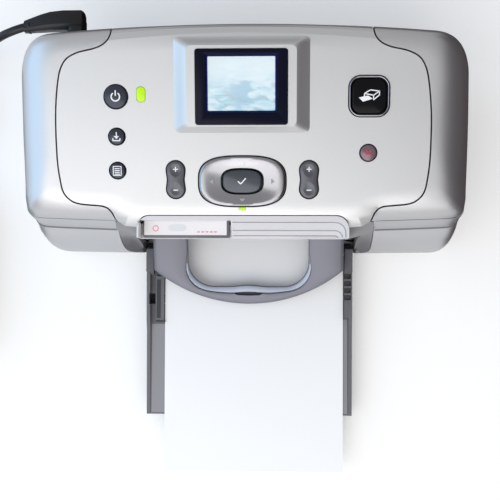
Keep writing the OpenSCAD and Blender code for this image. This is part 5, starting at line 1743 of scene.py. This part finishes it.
@dataclass
class Studio:
    """The table, the lamps, the world and the camera."""

    camera_place: tuple = (0.0218, -0.0029, 0.5293)
    camera_turn: tuple = (1.65, 2.37, 0.24)
    lens: float = 65.0
    table: float = 3.0
    table_lift: float = 0.16
    mirrored: float = 0.2
    ambient: float = 0.58
    aim: tuple = (0.0, 0.05, 0.06)
    lamp_rows: tuple = (
        ("key_softbox", (-0.26, -0.55, 1.05), 1.15, 0.8, 5.4, (1.0, 1.0, 0.995)),
        ("left_panel", (-0.8, 0.1, 0.45), 0.9, 0.85, 3.0, (0.36, 0.66, 1.0)),
        ("front_panel", (0.0, -0.95, 0.55), 1.3, 0.85, 3.2, (1.0, 0.98, 0.97)))
    cards: tuple = (
        ("upright_card", ((0.4, -0.5, 0.0), (0.4, 0.75, 0.0), (0.4, 0.75, 0.62), (0.4, -0.5, 0.62))),
        ("low_card", ((0.122, -0.04, 0.004), (0.42, -0.3, 0.004), (0.42, 0.5, 0.004), (0.122, 0.2, 0.004))),
        ("rear_card", ((-0.16, 0.135, 0.004), (0.3, 0.135, 0.004), (0.45, 0.75, 0.004),
                       (-0.3, 0.75, 0.004))))

    def floor(self) -> None:
        """A pale table that keeps the object's shadow."""
        s = self.table
        piece = mesh_object("table_top", [(-s, -s, 0), (s, -s, 0), (s, s, 0), (-s, s, 0)], [(0, 1, 2, 3)])
        made, tree, shader = new_material("table_white")
        path = add_node(tree, "ShaderNodeLightPath")
        lift = add_node(tree, "ShaderNodeMath", {0: path.outputs["Is Camera Ray"], 1: self.table_lift},
                        operation="MULTIPLY")
        dress_shader(tree, shader, {
            "Base Color": (0.86, 0.86, 0.86, 1), "Roughness": 0.9, "Specular IOR Level": 0.1,
            "Emission Color": (1, 1, 1, 1), "Emission Strength": lift.outputs["Value"]})
        piece.data.materials.append(made)

    def lamps(self) -> None:
        """A broad softbox over the front, a cool panel on the left and a low one in front."""
        for name, place, w, d, power, colour in self.lamp_rows:
            data = bpy.data.lights.new(name, "AREA")
            data.shape = "RECTANGLE"
            data.size, data.size_y = w, d
            data.energy = power
            data.color = colour
            lamp = link_new(name, data)
            lamp.location = place
            lamp.rotation_euler = (Vector(self.aim) - Vector(place)).to_track_quat("-Z", "Y").to_euler()

    def flags(self) -> None:
        """Dark plum cards on the right and behind, seen only in reflections."""
        made, tree, shader = new_material("card_plum")
        dress_shader(tree, shader, {
            "Base Color": (0.03, 0.012, 0.018, 1), "Roughness": 1.0, "Specular IOR Level": 0.0})
        for name, corners in self.cards:
            card = mesh_object(name, corners, [(0, 1, 2, 3)])
            card.data.materials.append(made)
            card.visible_camera = False
            card.visible_diffuse = False
            card.visible_shadow = False

    def world(self) -> None:
        """White to the camera, a dimmer white to reflections, and a plain grey level as light."""
        world = bpy.data.worlds.new("studio_white")
        world.use_nodes = True
        tree = world.node_tree
        path = add_node(tree, "ShaderNodeLightPath")
        glossy = add_node(tree, "ShaderNodeMath", {0: path.outputs["Is Glossy Ray"], 1: self.mirrored},
                          operation="MULTIPLY")
        seen = add_node(tree, "ShaderNodeMath", {
            0: path.outputs["Is Camera Ray"], 1: glossy.outputs["Value"]}, operation="MAXIMUM")
        level = add_node(tree, "ShaderNodeMath", {0: seen.outputs["Value"], 1: self.ambient},
                         operation="MAXIMUM")
        dress_shader(tree, tree.nodes["Background"], {
            "Color": (1, 1, 1, 1), "Strength": level.outputs["Value"]})
        bpy.context.scene.world = world

    def camera(self) -> None:
        """The photograph's viewpoint, almost straight above the panel."""
        data = bpy.data.cameras.new("camera")
        data.lens = self.lens
        data.sensor_width = 36.0
        data.clip_start = 0.01
        eye = link_new("camera", data)
        eye.location = self.camera_place
        eye.rotation_euler = [math.radians(a) for a in self.camera_turn]
        bpy.context.scene.camera = eye

    def build(self) -> None:
        """Sets up the studio."""
        for step in (self.camera, self.floor, self.lamps, self.flags, self.world):
            step()
        bpy.context.scene.view_settings.view_transform = "Standard"


def main() -> None:
    """Builds the studio and every sub-assembly of the printer in order."""
    logging.basicConfig(level=logging.INFO, format="%(message)s")
    for part in (Studio, Lead, Casing, Screen, Keys, Lip, Throat, Arch, Trays, PaperStack, Works):
        part().build()


if __name__ == "__main__":
    main()
